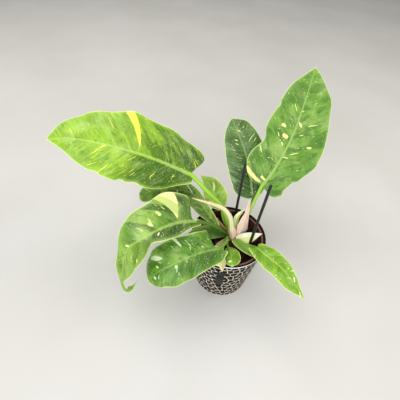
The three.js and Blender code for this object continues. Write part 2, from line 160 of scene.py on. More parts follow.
# Studio: a pale floor, one wide soft light overhead and weaker ones round it
studio = {
    "floorSize": 12.0, "floor": (203, 202, 199), "paler": (210, 209, 207), "cloud": (3, 3, 0.5, 0.3, 0.7, 1),
    "world": (240, 238, 234), "worldStrength": 0.45, "aim": (0, 0, 0.1),
    "lights": {
        "overhead": {"place": (-0.6, 0.35, 1.75), "size": 1.5, "power": 20, "colour": (255, 252, 245)},
        "front": {"place": (-0.4, -1.7, 1.05), "size": 1.4, "power": 32, "colour": (250, 252, 255)},
        "side": {"place": (1.6, 0.1, 1.2), "size": 1.2, "power": 13, "colour": (255, 250, 240)},
    },
}


def makeStudio():
    bm = bmesh.new()
    bmesh.ops.create_grid(bm, x_segments=8, y_segments=8, size=studio["floorSize"] / 2)
    floor = meshObject("studioFloor", bm)
    surface = Finish("studioFloorFinish", {"Roughness": 0.85, "Specular IOR Level": 0.2})
    cloud = surface.pattern(surface.place(), studio["cloud"])
    floor.data.materials.append(surface.finish(surface.mix(cloud, studio["floor"], studio["paler"])))
    for name, light in studio["lights"].items():
        data = bpy.data.lights.new(name, "AREA")
        data.size = light["size"]
        data.energy = light["power"]
        data.color = tint(*light["colour"])[:3]
        lamp = bpy.data.objects.new(name, data)
        bpy.context.scene.collection.objects.link(lamp)
        lamp.location = light["place"]
        lamp.rotation_euler = (Vector(studio["aim"]) - lamp.location).to_track_quat("-Z", "Y").to_euler()
    world = bpy.data.worlds.new("studioWorld")
    world.use_nodes = True
    sky = world.node_tree.nodes["Background"]
    sky.inputs["Color"].default_value = tint(*studio["world"])
    sky.inputs["Strength"].default_value = studio["worldStrength"]
    bpy.context.scene.world = world
    bpy.context.scene.view_settings.view_transform = "Standard"


def meshObject(name, bm, materials=()):
    mesh = bpy.data.meshes.new(name)
    bm.to_mesh(mesh)
    bm.free()
    for material in materials:
        mesh.materials.append(material)
    made = bpy.data.objects.new(name, mesh)
    bpy.context.scene.collection.objects.link(made)
    return made


def addPiece(name, bm, materials, nodes):
    for face in bm.faces:
        face.smooth = True
    piece = meshObject(name, bm, materials)
    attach(piece, "root")
    if nodes:
        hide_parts(*nodes)
    return piece


# Value at u, from 0 to 1, of a smooth curve through evenly spaced values
def smooth(values, u):
    values = np.asarray(values, float)
    last = len(values) - 1
    place = np.clip(u, 0, 1) * last
    i = np.minimum(place.astype(int), last - 1)
    w = place - i
    b, c = values[i], values[i + 1]
    a = np.where(i > 0, values[np.maximum(i - 1, 0)], 2 * b - c)
    d = np.where(i + 2 <= last, values[np.minimum(i + 2, last)], 2 * c - b)
    bend = 2 * a - 5 * b + 4 * c - d + w * (3 * (b - c) + d - a)
    return b + 0.5 * w * (c - a + w * bend)


def unit(vectors):
    return vectors / np.linalg.norm(vectors, axis=-1, keepdims=True)


# A smooth curve through points, followed by its length
class Rail:
    def __init__(self, points, steps=120):
        knots = [np.array(p, float) for p in points]
        knots = [2 * knots[0] - knots[1], *knots, 2 * knots[-1] - knots[-2]]
        w = np.linspace(0, 1, steps, endpoint=False)[:, None]
        track = []
        for before, start, end, after in zip(knots, knots[1:], knots[2:], knots[3:]):
            pairs = ((before, start), (start, end), (end, after))
            d0, d1, d2 = [np.linalg.norm(q - p) ** 0.5 for p, q in pairs]
            leave = ((start - before) / d0 - (end - before) / (d0 + d1) + (end - start) / d1) * d1
            arrive = ((end - start) / d1 - (after - start) / (d1 + d2) + (after - end) / d2) * d1
            squared = 3 * (end - start) - 2 * leave - arrive
            cubed = 2 * (start - end) + leave + arrive
            track.append(start + leave * w + squared * w**2 + cubed * w**3)
        self.track = np.vstack([*track, knots[-2][None]])
        steps = np.linalg.norm(np.diff(self.track, axis=0), axis=1)
        self.reach = np.concatenate([[0], np.cumsum(steps)])
        self.length = self.reach[-1]

    def at(self, u):
        place = np.clip(u, 0, 1) * self.length
        return np.stack([np.interp(place, self.reach, self.track[:, k]) for k in range(3)], -1)


# Leaves, as the part's source gives them, and then how each one looks
# A mark is two pixels of the photograph that it runs between, read off it, and its half
# width in pixels at each
largeLeaf = {
    "rows": 170, "columns": 84, "curl": 20, "waves": 4, "phase": (0, 0.3), "round": (10, 10), "tip": 0,
    "sweep": 0.08, "foldLeft": (12, 12, 10), "foldRight": (12, 12, 10), "notches": [],
}
smallLeaf = {**largeLeaf, "rows": 100, "columns": 60, "waves": 3, "round": (8, 8)}
leaves = {
    "leaf_left": {
        **largeLeaf,
        "rib": [(-71, 58, 186), (-129, 50, 218), (-186, 46, 236), (-243, 46, 242), (-277, 43, 239)],
        "stalk": [(2, 17, 101), (-4, 25, 122), (-14, 36, 140), (-40, 45, 163)],
        "stalkRadius": 3.6,
        "face": [(0, -0.5, 1), (0, -0.6, 1), (0, -0.5, 1)],
        "left": [12, 25, 39, 47, 45, 47, 44, 40, 31, 16],
        "right": [44, 48, 51, 55, 57, 58, 54, 47, 38, 27],
        "lobes": (10, 30), "round": (8, 24),
        "wave": 4, "slot": "bright_leaf",
        "deep": (54, 94, 8), "mid": (126, 169, 36), "light": (157, 200, 56), "cream": (232, 228, 84),
        "shade": (1.0, 0.15, 0.8), "ribPale": 0.65, "stalkTone": (146, 198, 44), "leftShade": 0.85,
        "streaks": 0.5, "seed": 1.0,
        "notches": [(-1, 0.64, 1.5, 6), (-1, 0.565, -2.5, 13), (-1, 0.475, 2.5, 5), (-1, 0.38, 1.2, 6),
                    (1, 0.18, 1.2, 7), (1, 0.42, 0.8, 5)],
        "marks": [
            ((132.5, 111.5), (139.2, 147), 5.2, 1.0), ((101.2, 147.2), (104.8, 145.2), 1.1, 1.6),
            ((108.6, 117), (115.4, 129.5), 1.0, 0.5), ((103.5, 123.5), (107.5, 129), 0.5, 0.5),
            ((88, 165), (96, 162), 1.1, 0.6), ((98, 172), (109, 163.5), 1.0, 0.8),
            ((108, 166.5), (113, 163), 0.5, 0.5), ((91, 157.5), (95, 156), 0.6, 0.5),
            ((146, 118), (152, 127), 0.7, 0.4), ((150, 117.5), (157, 124), 0.8, 0.5),
            ((152, 147), (157, 144.5), 0.4, 0.4), ((180, 146), (182.5, 152), 0.7, 0.7),
            ((120, 167), (125, 163), 0.5, 0.4), ((128, 160), (136, 156.5), 0.5, 0.4),
            ((150, 177), (157, 170), 0.6, 0.4), ((196, 160), (198.5, 164), 1.2, 0.8),
        ],
    },
    "leaf_right": {
        **largeLeaf,
        "rib": [(46, 66, 170), (62, 85, 188), (87, 130, 224), (105, 182, 258), (122, 242, 296)],
        "stalk": [(15, 15, 101), (23, 26, 120), (32, 40, 140), (40, 54, 157)],
        "stalkRadius": 2.9,
        "face": [(-0.1, -0.8, 0.8), (0, -0.8, 0.8), (0, -0.7, 0.8)],
        "left": [26, 45, 47, 40, 46, 45, 40, 37, 30, 16],
        "right": [30, 38, 45, 56, 57, 53, 52, 46, 40, 24],
        "lobes": (8, 9), "round": (14, 14),
        "wave": 3, "slot": "leaf",
        "deep": (46, 92, 16), "mid": (96, 144, 48), "light": (124, 166, 70), "cream": (236, 234, 150),
        "shade": (0.65, 0.5, 0.15), "stalkTone": (150, 196, 56), "streaks": 0.35, "seed": 2.0,
        "notches": [(-1, 0.605, 1.4, 7), (1, 0.12, 5, 11)],
        "marks": [
            ((283, 125), (285, 124), 1.8, 1.8), ((284, 135.4), (287.5, 135.8), 2.0, 2.4),
            ((282, 143.7), (283.2, 143.7), 1.1, 1.1), ((300.2, 122), (300.6, 126.5), 1.6, 1.6),
            ((295.5, 102.5), (296, 110), 0.8, 1.1), ((309, 125.5), (318, 124.8), 0.8, 0.8),
            ((307, 148.2), (310.5, 148.2), 1.0, 1.3), ((291, 154.2), (298, 153), 0.9, 0.7),
            ((317, 96), (322, 92), 0.8, 0.5), ((259.6, 145.5), (261, 150.5), 1.1, 1.1),
            ((248, 172.5), (261.5, 182), 2.2, 1.4), ((262, 177), (265, 180), 1.6, 0.6),
            ((305, 93.5), (308, 92), 0.5, 0.5), ((270, 157), (274, 160), 0.5, 0.5),
            ((283.5, 156.5), (287, 158), 0.7, 0.5), ((277.5, 133), (278.5, 135.5), 0.9, 0.9),
            ((300, 135), (303, 134.6), 0.7, 0.7), ((290, 125), (292, 126), 0.5, 0.5),
            ((295, 93), (297, 95), 0.5, 0.5), ((313, 105), (316, 104), 0.5, 0.5),
        ],
    },
    "leaf_drooping": {
        **largeLeaf,
        "rib": [(-50, -5, 150), (-79, -23, 165), (-103, -40, 168), (-128, -56, 160), (-146, -64, 144),
                (-152, -77, 116), (-153, -87, 94), (-147, -95, 84), (-140, -90, 83), (-133, -83, 88)],
        "stalk": [(1, 11, 101), (-10, 7, 116), (-27, 3, 132)],
        "stalkRadius": 3,
        "face": [(0, -0.3, 1), (-0.2, -0.5, 1), (-0.8, -0.6, 0.5), (-0.8, -0.6, 0.3), (-0.5, -0.7, 0.2)],
        "left": [6, 10, 16, 20, 19, 14, 29, 35, 28, 19, 8, 4],
        "right": [36, 37, 41, 46, 41, 39, 31, 23, 16, 12, 9, 6],
        "lobes": (6, 22), "round": (6, 4), "sweep": 0.05, "foldLeft": (10, 10, 10), "foldRight": (30, 30, 20),
        "wave": 3, "slot": "leaf",
        "deep": (42, 78, 12), "mid": (98, 143, 42), "light": (146, 184, 72), "cream": (240, 236, 160),
        "shade": (0.95, 0.25, 0.55), "leftShade": 0.85, "ribPale": 0.55, "washed": 0.6,
        "stalkTone": (66, 104, 22), "streaks": 0.5, "seed": 3.0,
        "notches": [(1, 0, 33, 23)],
        "marks": [
            ((168.5, 193), (178.2, 219.5), 10.5, 0.6), ((158, 211), (160.5, 215.5), 1.4, 1.6),
            ((147.8, 217), (149.5, 222.5), 0.5, 1.2), ((149.5, 223), (151.5, 226.5), 2.0, 1.2),
            ((136, 227), (139.5, 229.5), 0.7, 0.7), ((141, 229), (143.5, 231), 1.0, 1.0),
            ((153, 203), (156, 206), 0.5, 0.5), ((158.4, 232.5), (158.4, 234), 1.4, 1.4),
            ((124.4, 251), (124.3, 259.5), 0.7, 0.9), ((126, 245), (127.5, 247), 1.0, 1.0),
            ((136.4, 259), (137, 262.5), 0.7, 0.7), ((127.6, 272.5), (127, 278), 0.7, 0.7),
            ((129.5, 254), (131.5, 262), 0.4, 0.4), ((161, 205), (164.5, 209), 0.6, 0.6),
        ],
    },
    "leaf_back": {
        **largeLeaf,
        "rib": [(37, 66, 142), (23, 111, 180), (2, 141, 212), (-14, 158, 232)],
        "stalk": [(11, 19, 101), (21, 32, 115), (34, 49, 128)],
        "stalkRadius": 2.2,
        "face": [(0, -0.8, 0.8), (0, -0.8, 0.8), (0, -0.7, 0.8)],
        "left": [10, 29, 33, 36, 36, 36, 34, 30, 26, 17],
        "right": [8, 20, 24, 24, 26, 29, 33, 31, 28, 21],
        "lobes": (6, 4), "round": (9, 9),
        "wave": 2, "slot": "leaf",
        "deep": (34, 66, 14), "mid": (70, 106, 42), "light": (102, 136, 74), "cream": (216, 224, 150),
        "shade": (0.85, 0.4, 0.4), "stalkTone": (70, 108, 40), "streaks": 0.35, "seed": 4.0,
        "marks": [
            ((237.6, 129.5), (241, 133.5), 1.2, 0.8), ((236, 139.6), (238.2, 139.9), 0.8, 0.8),
            ((236.6, 143.8), (238.2, 144), 0.8, 0.8), ((231, 149), (232.4, 150.6), 0.8, 0.6),
            ((248.5, 141), (253.5, 134), 0.8, 0.5), ((250, 127), (252.5, 131), 0.8, 0.6),
            ((230.5, 145), (233, 147), 0.7, 0.7), ((242.5, 128), (245, 126), 0.6, 0.4),
            ((252.6, 141.4), (255.5, 138), 0.5, 0.5),
        ],
    },
    "leaf_low_left": {
        **largeLeaf,
        "rib": [(-17, -41, 136), (-39, -53, 142), (-72, -70, 138), (-97, -81, 126), (-108, -85, 115),
                (-114, -87, 102)],
        "stalk": [(2, 6, 101), (-2, 0, 110), (-4, -19, 124)],
        "stalkRadius": 2.2,
        "face": [(0, -0.2, 1), (0, -0.3, 1), (-0.5, -0.4, 1)],
        "left": [8, 19, 23, 27, 29, 30, 31, 29, 24, 20],
        "right": [34, 34, 31, 32, 33, 34, 36, 34, 31, 26],
        "lobes": (26, 13), "tip": 17, "round": (14, 6), "foldLeft": (-10, -10, -10), "foldRight": (10, 10, 5),
        "wave": 3, "slot": "dark_leaf",
        "deep": (40, 80, 14), "mid": (78, 126, 30), "light": (116, 164, 46), "cream": (206, 222, 176),
        "shade": (0.65, 0.5, 0.1), "leftShade": 0.3, "ribPale": 0.4, "stalkTone": (110, 152, 44),
        "streaks": 0.3, "seed": 5.0,
        "notches": [(1, 0, 30, 12)],
        "marks": [
            ((153, 257.8), (157.6, 258.6), 4.0, 3.8), ((175.5, 238.8), (181, 246), 1.5, 1.0),
            ((189.8, 244.5), (191, 249.5), 0.5, 0.5), ((202.2, 245.4), (203, 246.4), 0.9, 0.9),
            ((156.2, 266.6), (157.2, 267.2), 1.3, 1.3), ((158.5, 262.5), (160, 263.5), 0.8, 0.8),
            ((175.5, 266.2), (177, 266.4), 1.6, 1.4), ((176.4, 269), (176.6, 270.8), 0.6, 0.6),
            ((153.4, 278), (155, 278.4), 1.5, 1.5), ((158, 276.5), (158.2, 278), 0.7, 0.7),
            ((206.5, 259.4), (209.8, 259.6), 0.7, 0.6), ((187, 261.4), (188.2, 261.6), 0.8, 0.8),
            ((207.5, 262), (209, 263), 0.5, 0.5), ((178.2, 273), (178.3, 275), 0.5, 0.5),
            ((185.5, 239), (190, 245), 0.4, 0.4), ((170.5, 246), (173, 249), 0.4, 0.4),
        ],
    },
    "leaf_low_right": {
        **largeLeaf,
        "rib": [(44, -23, 122), (54, -35, 126), (81, -60, 125), (99, -78, 115), (114, -92, 102)],
        "stalk": [(15, 4, 101), (28, -8, 108)],
        "stalkRadius": 2,
        "face": [(0, -0.2, 1), (0.1, -0.2, 1), (0.2, -0.2, 1)],
        "left": [9, 13, 17, 17, 17, 15, 12, 10, 5, 3],
        "right": [10, 14, 18, 20, 19, 20, 18, 17, 11, 4],
        "lobes": (8, 13), "round": (7, 5),
        "wave": 1.5, "slot": "bright_leaf",
        "deep": (78, 124, 8), "mid": (110, 156, 18), "light": (144, 190, 50), "cream": (238, 244, 196),
        "shade": (0.6, 0.4, 0.1), "ribPale": 0.6, "stalkTone": (110, 150, 30), "streaks": 0.9, "seed": 6.0,
        "marks": [
            ((293.5, 276.5), (296.3, 281.5), 1.4, 1.2), ((300, 291), (302.2, 296.5), 1.6, 1.6),
            ((270, 258), (274, 262.5), 0.5, 0.4), ((283, 268.5), (285.5, 272.5), 0.5, 0.4),
            ((288, 276), (291, 279), 0.6, 0.6), ((262, 252), (266, 256), 0.5, 0.4),
            ((283, 255), (287, 257), 0.5, 0.4), ((279, 272), (283, 276), 0.5, 0.4),
        ],
    },
    "leaf_behind": {
        **largeLeaf,
        "rib": [(-20, 12, 122), (-41, 30, 138), (-65, 51, 150), (-99, 51, 156), (-131, 46, 152),
                (-151, 38, 138)],
        "stalk": [(1, 14, 101), (-10, 15, 113)],
        "stalkRadius": 1.8,
        "face": [(0.2, -0.6, 1), (0, -0.6, 1), (-0.3, -0.5, 1)],
        "left": [4, 9, 14, 18, 20, 20, 20, 20, 18, 14],
        "right": [4, 7, 8, 9, 11, 15, 18, 20, 18, 14],
        "lobes": (4, 4), "round": (4, 4), "tip": 9, "sweep": 0.06,
        "foldLeft": (15, 12, 10), "foldRight": (15, 12, 10),
        "wave": 2, "slot": "dark_leaf",
        "deep": (44, 74, 20), "mid": (94, 132, 38), "light": (128, 164, 60), "cream": (214, 226, 168),
        "shade": (0.7, 0.6, 0.0), "ribPale": 0.4, "stalkTone": (96, 134, 40), "streaks": 0.35, "seed": 7.0,
        "marks": [
            ((186.6, 184), (187.8, 196), 1.0, 1.0), ((177, 188), (178, 192), 0.6, 0.5),
        ],
    },
    "leaf_inner": {
        **smallLeaf,
        "rib": [(-15, 44, 128), (-26, 61, 140), (-39, 80, 148), (-55, 96, 150)],
        "stalk": [(5, 18, 102), (-8, 28, 114)],
        "stalkRadius": 1.5,
        "face": [(0.1, -0.6, 1), (0, -0.6, 1), (0, -0.5, 1)],
        "left": [5, 13, 18, 20, 18, 14, 9, 4],
        "right": [5, 13, 18, 20, 19, 17, 14, 8],
        "lobes": (4, 4), "sweep": 0.06,
        "wave": 1.5, "slot": "leaf",
        "deep": (84, 118, 26), "mid": (126, 165, 46), "light": (154, 194, 66), "cream": (210, 220, 140),
        "shade": (0.6, 0.5, 0.0), "ribPale": 0.5, "stalkTone": (120, 157, 44), "streaks": 0.35, "seed": 8.0,
        "marks": [
            ((212.3, 184), (214, 189.5), 2.2, 1.8), ((207, 184.5), (209, 187), 0.5, 0.4),
        ],
    },
    "leaf_front": {
        **smallLeaf,
        "rib": [(0, -21, 113), (3, -36, 121), (4, -50, 124), (5, -60, 121)],
        "stalk": [(4, 3, 102), (-1, -6, 107)],
        "stalkRadius": 1.5,
        "face": [(0, -0.4, 1), (0, -0.4, 1), (0, -0.5, 1)],
        "left": [4, 9, 12, 14, 14, 15, 15, 14, 13, 9],
        "right": [4, 6, 7, 8, 9, 11, 12, 12, 12, 8],
        "lobes": (1, 1), "sweep": 0.05, "foldLeft": (-5, -5, -5), "foldRight": (-5, -5, -5),
        "wave": 1, "slot": "bright_leaf",
        "deep": (64, 104, 4), "mid": (86, 128, 8), "light": (116, 162, 26), "cream": (226, 236, 160),
        "shade": (0.5, 0.3, 0.1), "ribPale": 0.5, "stalkTone": (100, 142, 24), "streaks": 0.25, "seed": 9.0,
        "marks": [
            ((228.6, 260.4), (231, 260.4), 1.0, 0.9),
        ],
    },
}

# What all the leaves share
blade = {
    "thickness": 0.7, "tipHalfWidth": 0.5,
    "ribHalf": 0.95, "ribHeight": 0.5, "ribDepth": 1.4,  # of the stalk's radius, then millimetres
    "veinSlant": 0.55, "veinBend": 0.006, "veinSpacing": 7.5, "veinDepth": 0.35,
}


# Rail frame at u: the place and the directions along, up and sideways
def ribFrame(rib, face, u):
    held = np.clip(u, 0, 1)
    along = unit(rib.at(np.minimum(held + 0.02, 1)) - rib.at(np.maximum(held - 0.02, 0)))
    place = rib.at(held) + along * ((u - held) * rib.length)[..., None]
    up = np.stack([smooth([f[k] for f in face], held) for k in range(3)], -1)
    up = unit(up - along * (up * along).sum(-1, keepdims=True))
    return place, up, np.cross(along, up)


# Pulls the corner of an end into a round, from the distances to the end and to the side edge
def roundCorner(toEnd, toEdge, radius):
    a, b = 1 - toEnd / radius, 1 - toEdge / radius
    inside = (a > 0) & (b > 0)
    a, b = np.clip(a, 0, 1), np.clip(b, 0, 1)
    nearEnd = np.where(inside, radius * (1 - a * np.sqrt(1 - b * b / 2)), toEnd)
    nearEdge = np.where(inside, radius * (1 - b * np.sqrt(1 - a * a / 2)), toEdge)
    return nearEnd, nearEdge


# Half width of a blade at u, and the share of it that the notches of its margin leave
def widthAt(leaf, rib, u, right):
    full = np.where(right, smooth([*leaf["right"], leaf["tip"]], u), smooth([*leaf["left"], leaf["tip"]], u))
    full = np.maximum(full, blade["tipHalfWidth"])
    width = full
    for side, at, depth, reach in leaf["notches"]:
        dip = depth * np.exp(-(((u - at) * rib.length / reach) ** 6))
        width = width - np.where(right == (side > 0), dip, 0)
    width = np.maximum(width, blade["tipHalfWidth"])
    return width, width / full


# Middle surface of a blade: u from base to tip, t from -1 at the left edge to 1
def bladeSurface(leaf, rib, u, t):
    right, out = t >= 0, np.abs(t)
    halfWidth, left = widthAt(leaf, rib, u, right)
    length = rib.length
    radius = np.minimum(np.where(right, leaf["round"][1], leaf["round"][0]), 0.95 * halfWidth)
    toEnd, toEdge = roundCorner(u * length, (1 - out) * halfWidth, radius)
    held = np.maximum(toEnd / length, u)
    toTip, toEdge = roundCorner((1 - held) * length, toEdge, np.minimum(leaf["tip"] + 0.01, 0.95 * halfWidth))
    u, out = 1 - toTip / length, 1 - toEdge / halfWidth
    lobe = np.where(right, leaf["lobes"][1], leaf["lobes"][0]) * np.minimum(left, 1)
    atEdge = u - lobe / length * (1 - u) ** 5
    atRib = u - leaf["sweep"] * np.sin(math.pi * u)
    run = atRib + (atEdge - atRib) * out**1.3
    place, up, side = ribFrame(rib, leaf["face"], run)
    fold = np.where(right, smooth(leaf["foldRight"], u), smooth(leaf["foldLeft"], u))
    angle = np.radians(fold - leaf["curl"] * out / 2)
    turn = 2 * math.pi * (leaf["waves"] * u + np.where(right, leaf["phase"][1], leaf["phase"][0]))
    fade = np.sqrt(np.sin(math.pi * np.clip(u, 0.04, 0.96)))
    lift = halfWidth * out * np.sin(angle) + leaf["wave"] * out * out * np.sin(turn) * fade
    across = np.sign(t) * halfWidth * out
    point = place + side * (across * np.cos(angle))[..., None] + up * lift[..., None]
    return point, run * length, across, halfWidth


def surfaceNormal(leaf, rib, u, t):
    step = 0.012
    alongRib = bladeSurface(leaf, rib, u + step, t)[0] - bladeSurface(leaf, rib, u - step, t)[0]
    tHigh, tLow = np.minimum(t + step, 1), np.maximum(t - step, -1)
    acrossRib = bladeSurface(leaf, rib, u, tHigh)[0] - bladeSurface(leaf, rib, u, tLow)[0]
    return unit(np.cross(acrossRib, alongRib))


# Which lateral vein a point lies on, as the station where that vein leaves the rib
def veinOf(station, across):
    out = np.abs(across)
    return station - blade["veinSlant"] * out - blade["veinBend"] * out**2


# How marks of the photograph are laid on a blade. Reach is how near to a pixel, in pixels, a point
# of the blade has to appear, runOn is how far a mark goes on at its ends in its half widths, and a
# mark longer than "long" that ends nearer to the margin than "near" goes on by "past" over it
markFit = {"reach": 0.9, "runOn": 0.7, "near": 4, "long": 10, "past": 8, "bare": -9.0, "slope": 0.6}


# A mark in the blade's own measures: its side, the veins it starts and ends on, its half widths
# there, and how far out from the rib it starts and ends, the places in whole millimetres
def layMark(mark, seen, vein, across, edge):
    x, y, depth, scale = seen
    apart = [np.hypot(x - atX, y - atY) for atX, atY in mark[:2]]
    found = [np.where(a < markFit["reach"], depth, depth.max() + a).argmin() for a in apart]
    halves = [half * scale[found[0]] for half in mark[2:]]
    ends = [(abs(across[k]), vein[k], half, across[k], edge[k]) for k, half in zip(found, halves)]
    (inner, veinIn, halfIn, acrossIn, _), (outer, veinOut, halfOut, acrossOut, margin) = sorted(ends)
    inner = 0 if acrossIn * acrossOut < 0 else inner
    inner = max(0, inner - halfIn * markFit["runOn"])
    outer += halfOut * markFit["runOn"]
    if margin < markFit["near"] and outer - inner > markFit["long"]:
        more = markFit["past"] / (outer - inner)
        outer += markFit["past"]
        veinOut += (veinOut - veinIn) * more
        halfOut += (halfOut - halfIn) * more
    veins, halves = (round(veinIn), round(veinOut)), (round(halfIn, 1), round(halfOut, 1))
    return np.sign(acrossOut), veins, halves, round(inner), round(outer)


# How far inside the nearest pale mark a point lies, in millimetres
def markField(marks, vein, across):
    field = np.full(vein.shape, markFit["bare"])
    for side, at, half, inner, outer in marks:
        share = (across * side - inner) / max(outer - inner, 1)
        held = np.clip(share, 0, 1)
        width = half[0] + (half[1] - half[0]) * held
        aside = (vein - at[0] - (at[1] - at[0]) * held) / width
        inside = markFit["slope"] * width * (1 - aside**2 - (2 * share - 1) ** 4)
        field = np.maximum(field, inside)
    return field


# Blade: a grid bent to the surface, doubled for the underside and closed round the rim
def addBlade(bm, layers, leaf, rib, ribHalf, ribDepth):
    made = bmesh.ops.create_grid(bm, x_segments=leaf["rows"], y_segments=leaf["columns"], size=1)
    verts = made["verts"]
    flat = np.array([v.co[:2] for v in verts])
    u = (flat[:, 0] + 1) / 2
    t = -np.sign(flat[:, 1]) * np.abs(flat[:, 1]) ** 1.2
    point, station, across, halfWidth = bladeSurface(leaf, rib, u, t)
    normal = surfaceNormal(leaf, rib, np.clip(u, 0.013, 0.987), t)
    out = np.abs(across)
    vein = veinOf(station, across)
    taper = ribHalf * np.clip(1 - u, 0.03, 1) ** 0.7 + 0.25
    edgeFade = 1 - np.abs(t) ** 6
    ridge = np.exp(-((out / taper) ** 2))
    gutter = np.exp(-(((out - 2.1 * taper) / taper) ** 2))
    spacing = blade["veinSpacing"] * leaf.get("veinScale", 1)
    between = np.cos(2 * math.pi * vein / spacing + 1.7 * np.sin(vein / 21 + 2 * np.sign(across)))
    between *= 0.35 + 0.65 * np.sin(vein / 15 + 0.08 * across + leaf["seed"]) ** 2
    swell = blade["veinDepth"] * leaf.get("relief", 1) * between * np.clip(out / 6, 0, 1) * edgeFade
    raised = swell + blade["ribHeight"] * np.clip(1.1 - u, 0, 1) * (ridge - 0.7 * gutter)
    half = blade["thickness"] / 2
    edge = np.minimum((1 - np.abs(t)) * halfWidth, (1 - u) * rib.length * 0.6)
    top = point + normal * (half + raised)[:, None]
    seen = inPhoto(top)
    marks = [layMark(mark, seen, vein, across, edge) for mark in leaf["marks"]]
    mark = markField(marks, vein, across)
    values = {"station": station, "across": across, "edge": edge, "rib": taper - out, "mark": mark}
    for k, v in enumerate(verts):
        v.co = top[k] * mm
        v[layers["run"]] = u[k]
        for name, value in values.items():
            v[layers[name]] = value[k] * mm
    bodyFaces = list({f for v in verts for f in v.link_faces})
    bodyEdges = list({e for v in verts for e in v.link_edges})
    twin = bmesh.ops.duplicate(bm, geom=[*verts, *bodyEdges, *bodyFaces])
    below = (point + normal * (raised - half)[:, None]
             - normal * (ribDepth * np.clip(1 - u, 0, 1) * ridge)[:, None]) * mm
    for k, v in enumerate(verts):
        twin["vert_map"][v].co = below[k]
    lowerFaces = [f for f in twin["geom"] if isinstance(f, bmesh.types.BMFace)]
    bmesh.ops.reverse_faces(bm, faces=lowerFaces)
    for face in lowerFaces:
        face.material_index = 1
    rims = [e for e in bodyEdges if e.is_boundary]
    rims += [e for e in twin["geom"] if isinstance(e, bmesh.types.BMEdge) and e.is_boundary]
    for face in bmesh.ops.bridge_loops(bm, edges=rims)["faces"]:
        face.material_index = 2
    for e in rims:
        e.smooth = False


# Tube: a grid wrapped round a path, its seam merged and its ends filled
def addTube(bm, layers, path, radius, upward, sides, material):
    steps = len(path) - 1
    made = bmesh.ops.create_grid(bm, x_segments=steps, y_segments=sides, size=1)
    verts = made["verts"]
    flat = np.array([v.co[:2] for v in verts])
    i = np.rint((flat[:, 0] + 1) / 2 * steps).astype(int)
    angle = (flat[:, 1] + 1) * math.pi
    along = unit(np.gradient(path, axis=0))
    up = unit(upward - along * (upward * along).sum(-1, keepdims=True))
    side = np.cross(along, up)
    groove = 1 - 0.16 * np.exp(-((1 - np.cos(angle)) / 0.12))
    ring = up[i] * np.cos(angle)[:, None] + side[i] * np.sin(angle)[:, None]
    place = (path[i] + ring * (radius[i] * groove)[:, None]) * mm
    for k, v in enumerate(verts):
        v.co = place[k]
        v[layers["run"]] = i[k] / steps
        v[layers["station"]] = i[k] / steps * 0.1
        v[layers["across"]] = math.sin(angle[k]) * 0.003
    faces = list({f for v in verts for f in v.link_faces})
    for face in faces:
        face.material_index = material
    bmesh.ops.remove_doubles(bm, verts=verts, dist=1e-6)
    ends = [e for f in faces if f.is_valid for e in f.edges if e.is_boundary]
    bmesh.ops.holes_fill(bm, edges=ends, sides=0)


layerNames = ("run", "station", "across", "edge", "rib", "mark")


def newBlade():
    bm = bmesh.new()
    return bm, {name: bm.verts.layers.float.new(name) for name in layerNames}


# What the skins of the leaves share: shader values, tones, noise patterns, and where a shade starts
# and is full, as shares of the blade's length or in metres, with its strength where that isn't full
tissue = {"Subsurface Weight": 0.1, "Subsurface Radius": (0.002, 0.003, 0.001), "Subsurface Scale": 0.6}
skin = {
    "top": {"Roughness": 0.42, "Specular IOR Level": 0.36, "Coat Weight": 0.1, "Coat Roughness": 0.32},
    "below": {"Roughness": 0.5, "Specular IOR Level": 0.36},
    "stalk": {"Roughness": 0.4, "Coat Weight": 0.1}, "rim": {"Roughness": 0.5},
    # The sheen tone and its pattern paint a sheen: pale clouds that stand in for reflections of the lights
    "bloom": (186, 212, 128), "ribTone": (206, 228, 140), "marginTone": (218, 230, 156),
    "under": (150, 178, 110), "rimTones": ((188, 208, 110), (214, 226, 150)),
    "broad": 0.5, "fine": 0.13, "bump": (0.2, 0.001), "stalkBump": (0.2, 0.0004),
    "cloud": (34, 2, 0.5, 0.35, 0.65, 0.8), "waxy": (40, 2, 0.5, 0.5, 0.7, 0.3),
    "patches": (62, 3, 0.6, 0.45, 0.59, 1), "mottle": (260, 4, 0.7, 0.49, 0.64, 0.65),
    "mottlePlaces": (48, 1, 0.5, 0.42, 0.58, 1), "strands": (300, 3, 0.65, 0.5, 0.72, 0.3),
    "strandPlaces": (36, 1, 0.5, 0.6, 0.42, 1), "flecks": (520, 2, 0.6, 0.61, 0.68, 0.7),
    "streakPlaces": (30, 1, 0.5, 0.45, 0.6, 1), "dots": (420, 1, 0.4, 0.71, 0.74, 0.9),
    "streaks": (330, 2, 0.5), "streakBar": (0.7, 0.08, 0.03), "washed": (80, 2, 0.5, 0.56, 0.44),
    "ragged": (700, 0.003), "grain": (900, 3, 0.6), "stripes": (500, 2, 0.5, 0.4, 0.65, 1),
    "gloss": (60, 2), "glossEnds": (0.3, 0.7, 0.36, 0.48),
    "deepBase": (0.55, 0.0, 0), "leftSide": (0.0, -0.005), "leftEnds": (0.6, 0.4), "patchEnds": (0.1, 0.8),
    "paleEdge": (0.007, 0.0, 0, 0.5), "ribEdge": (-0.0008, 0.0008, 0), "margin": (0.0014, 0.0005, 0, 0.75),
    "markEdge": (-0.0003, 0.0004), "stalkFoot": (0.28, 0.0, 0, 0.6),
}
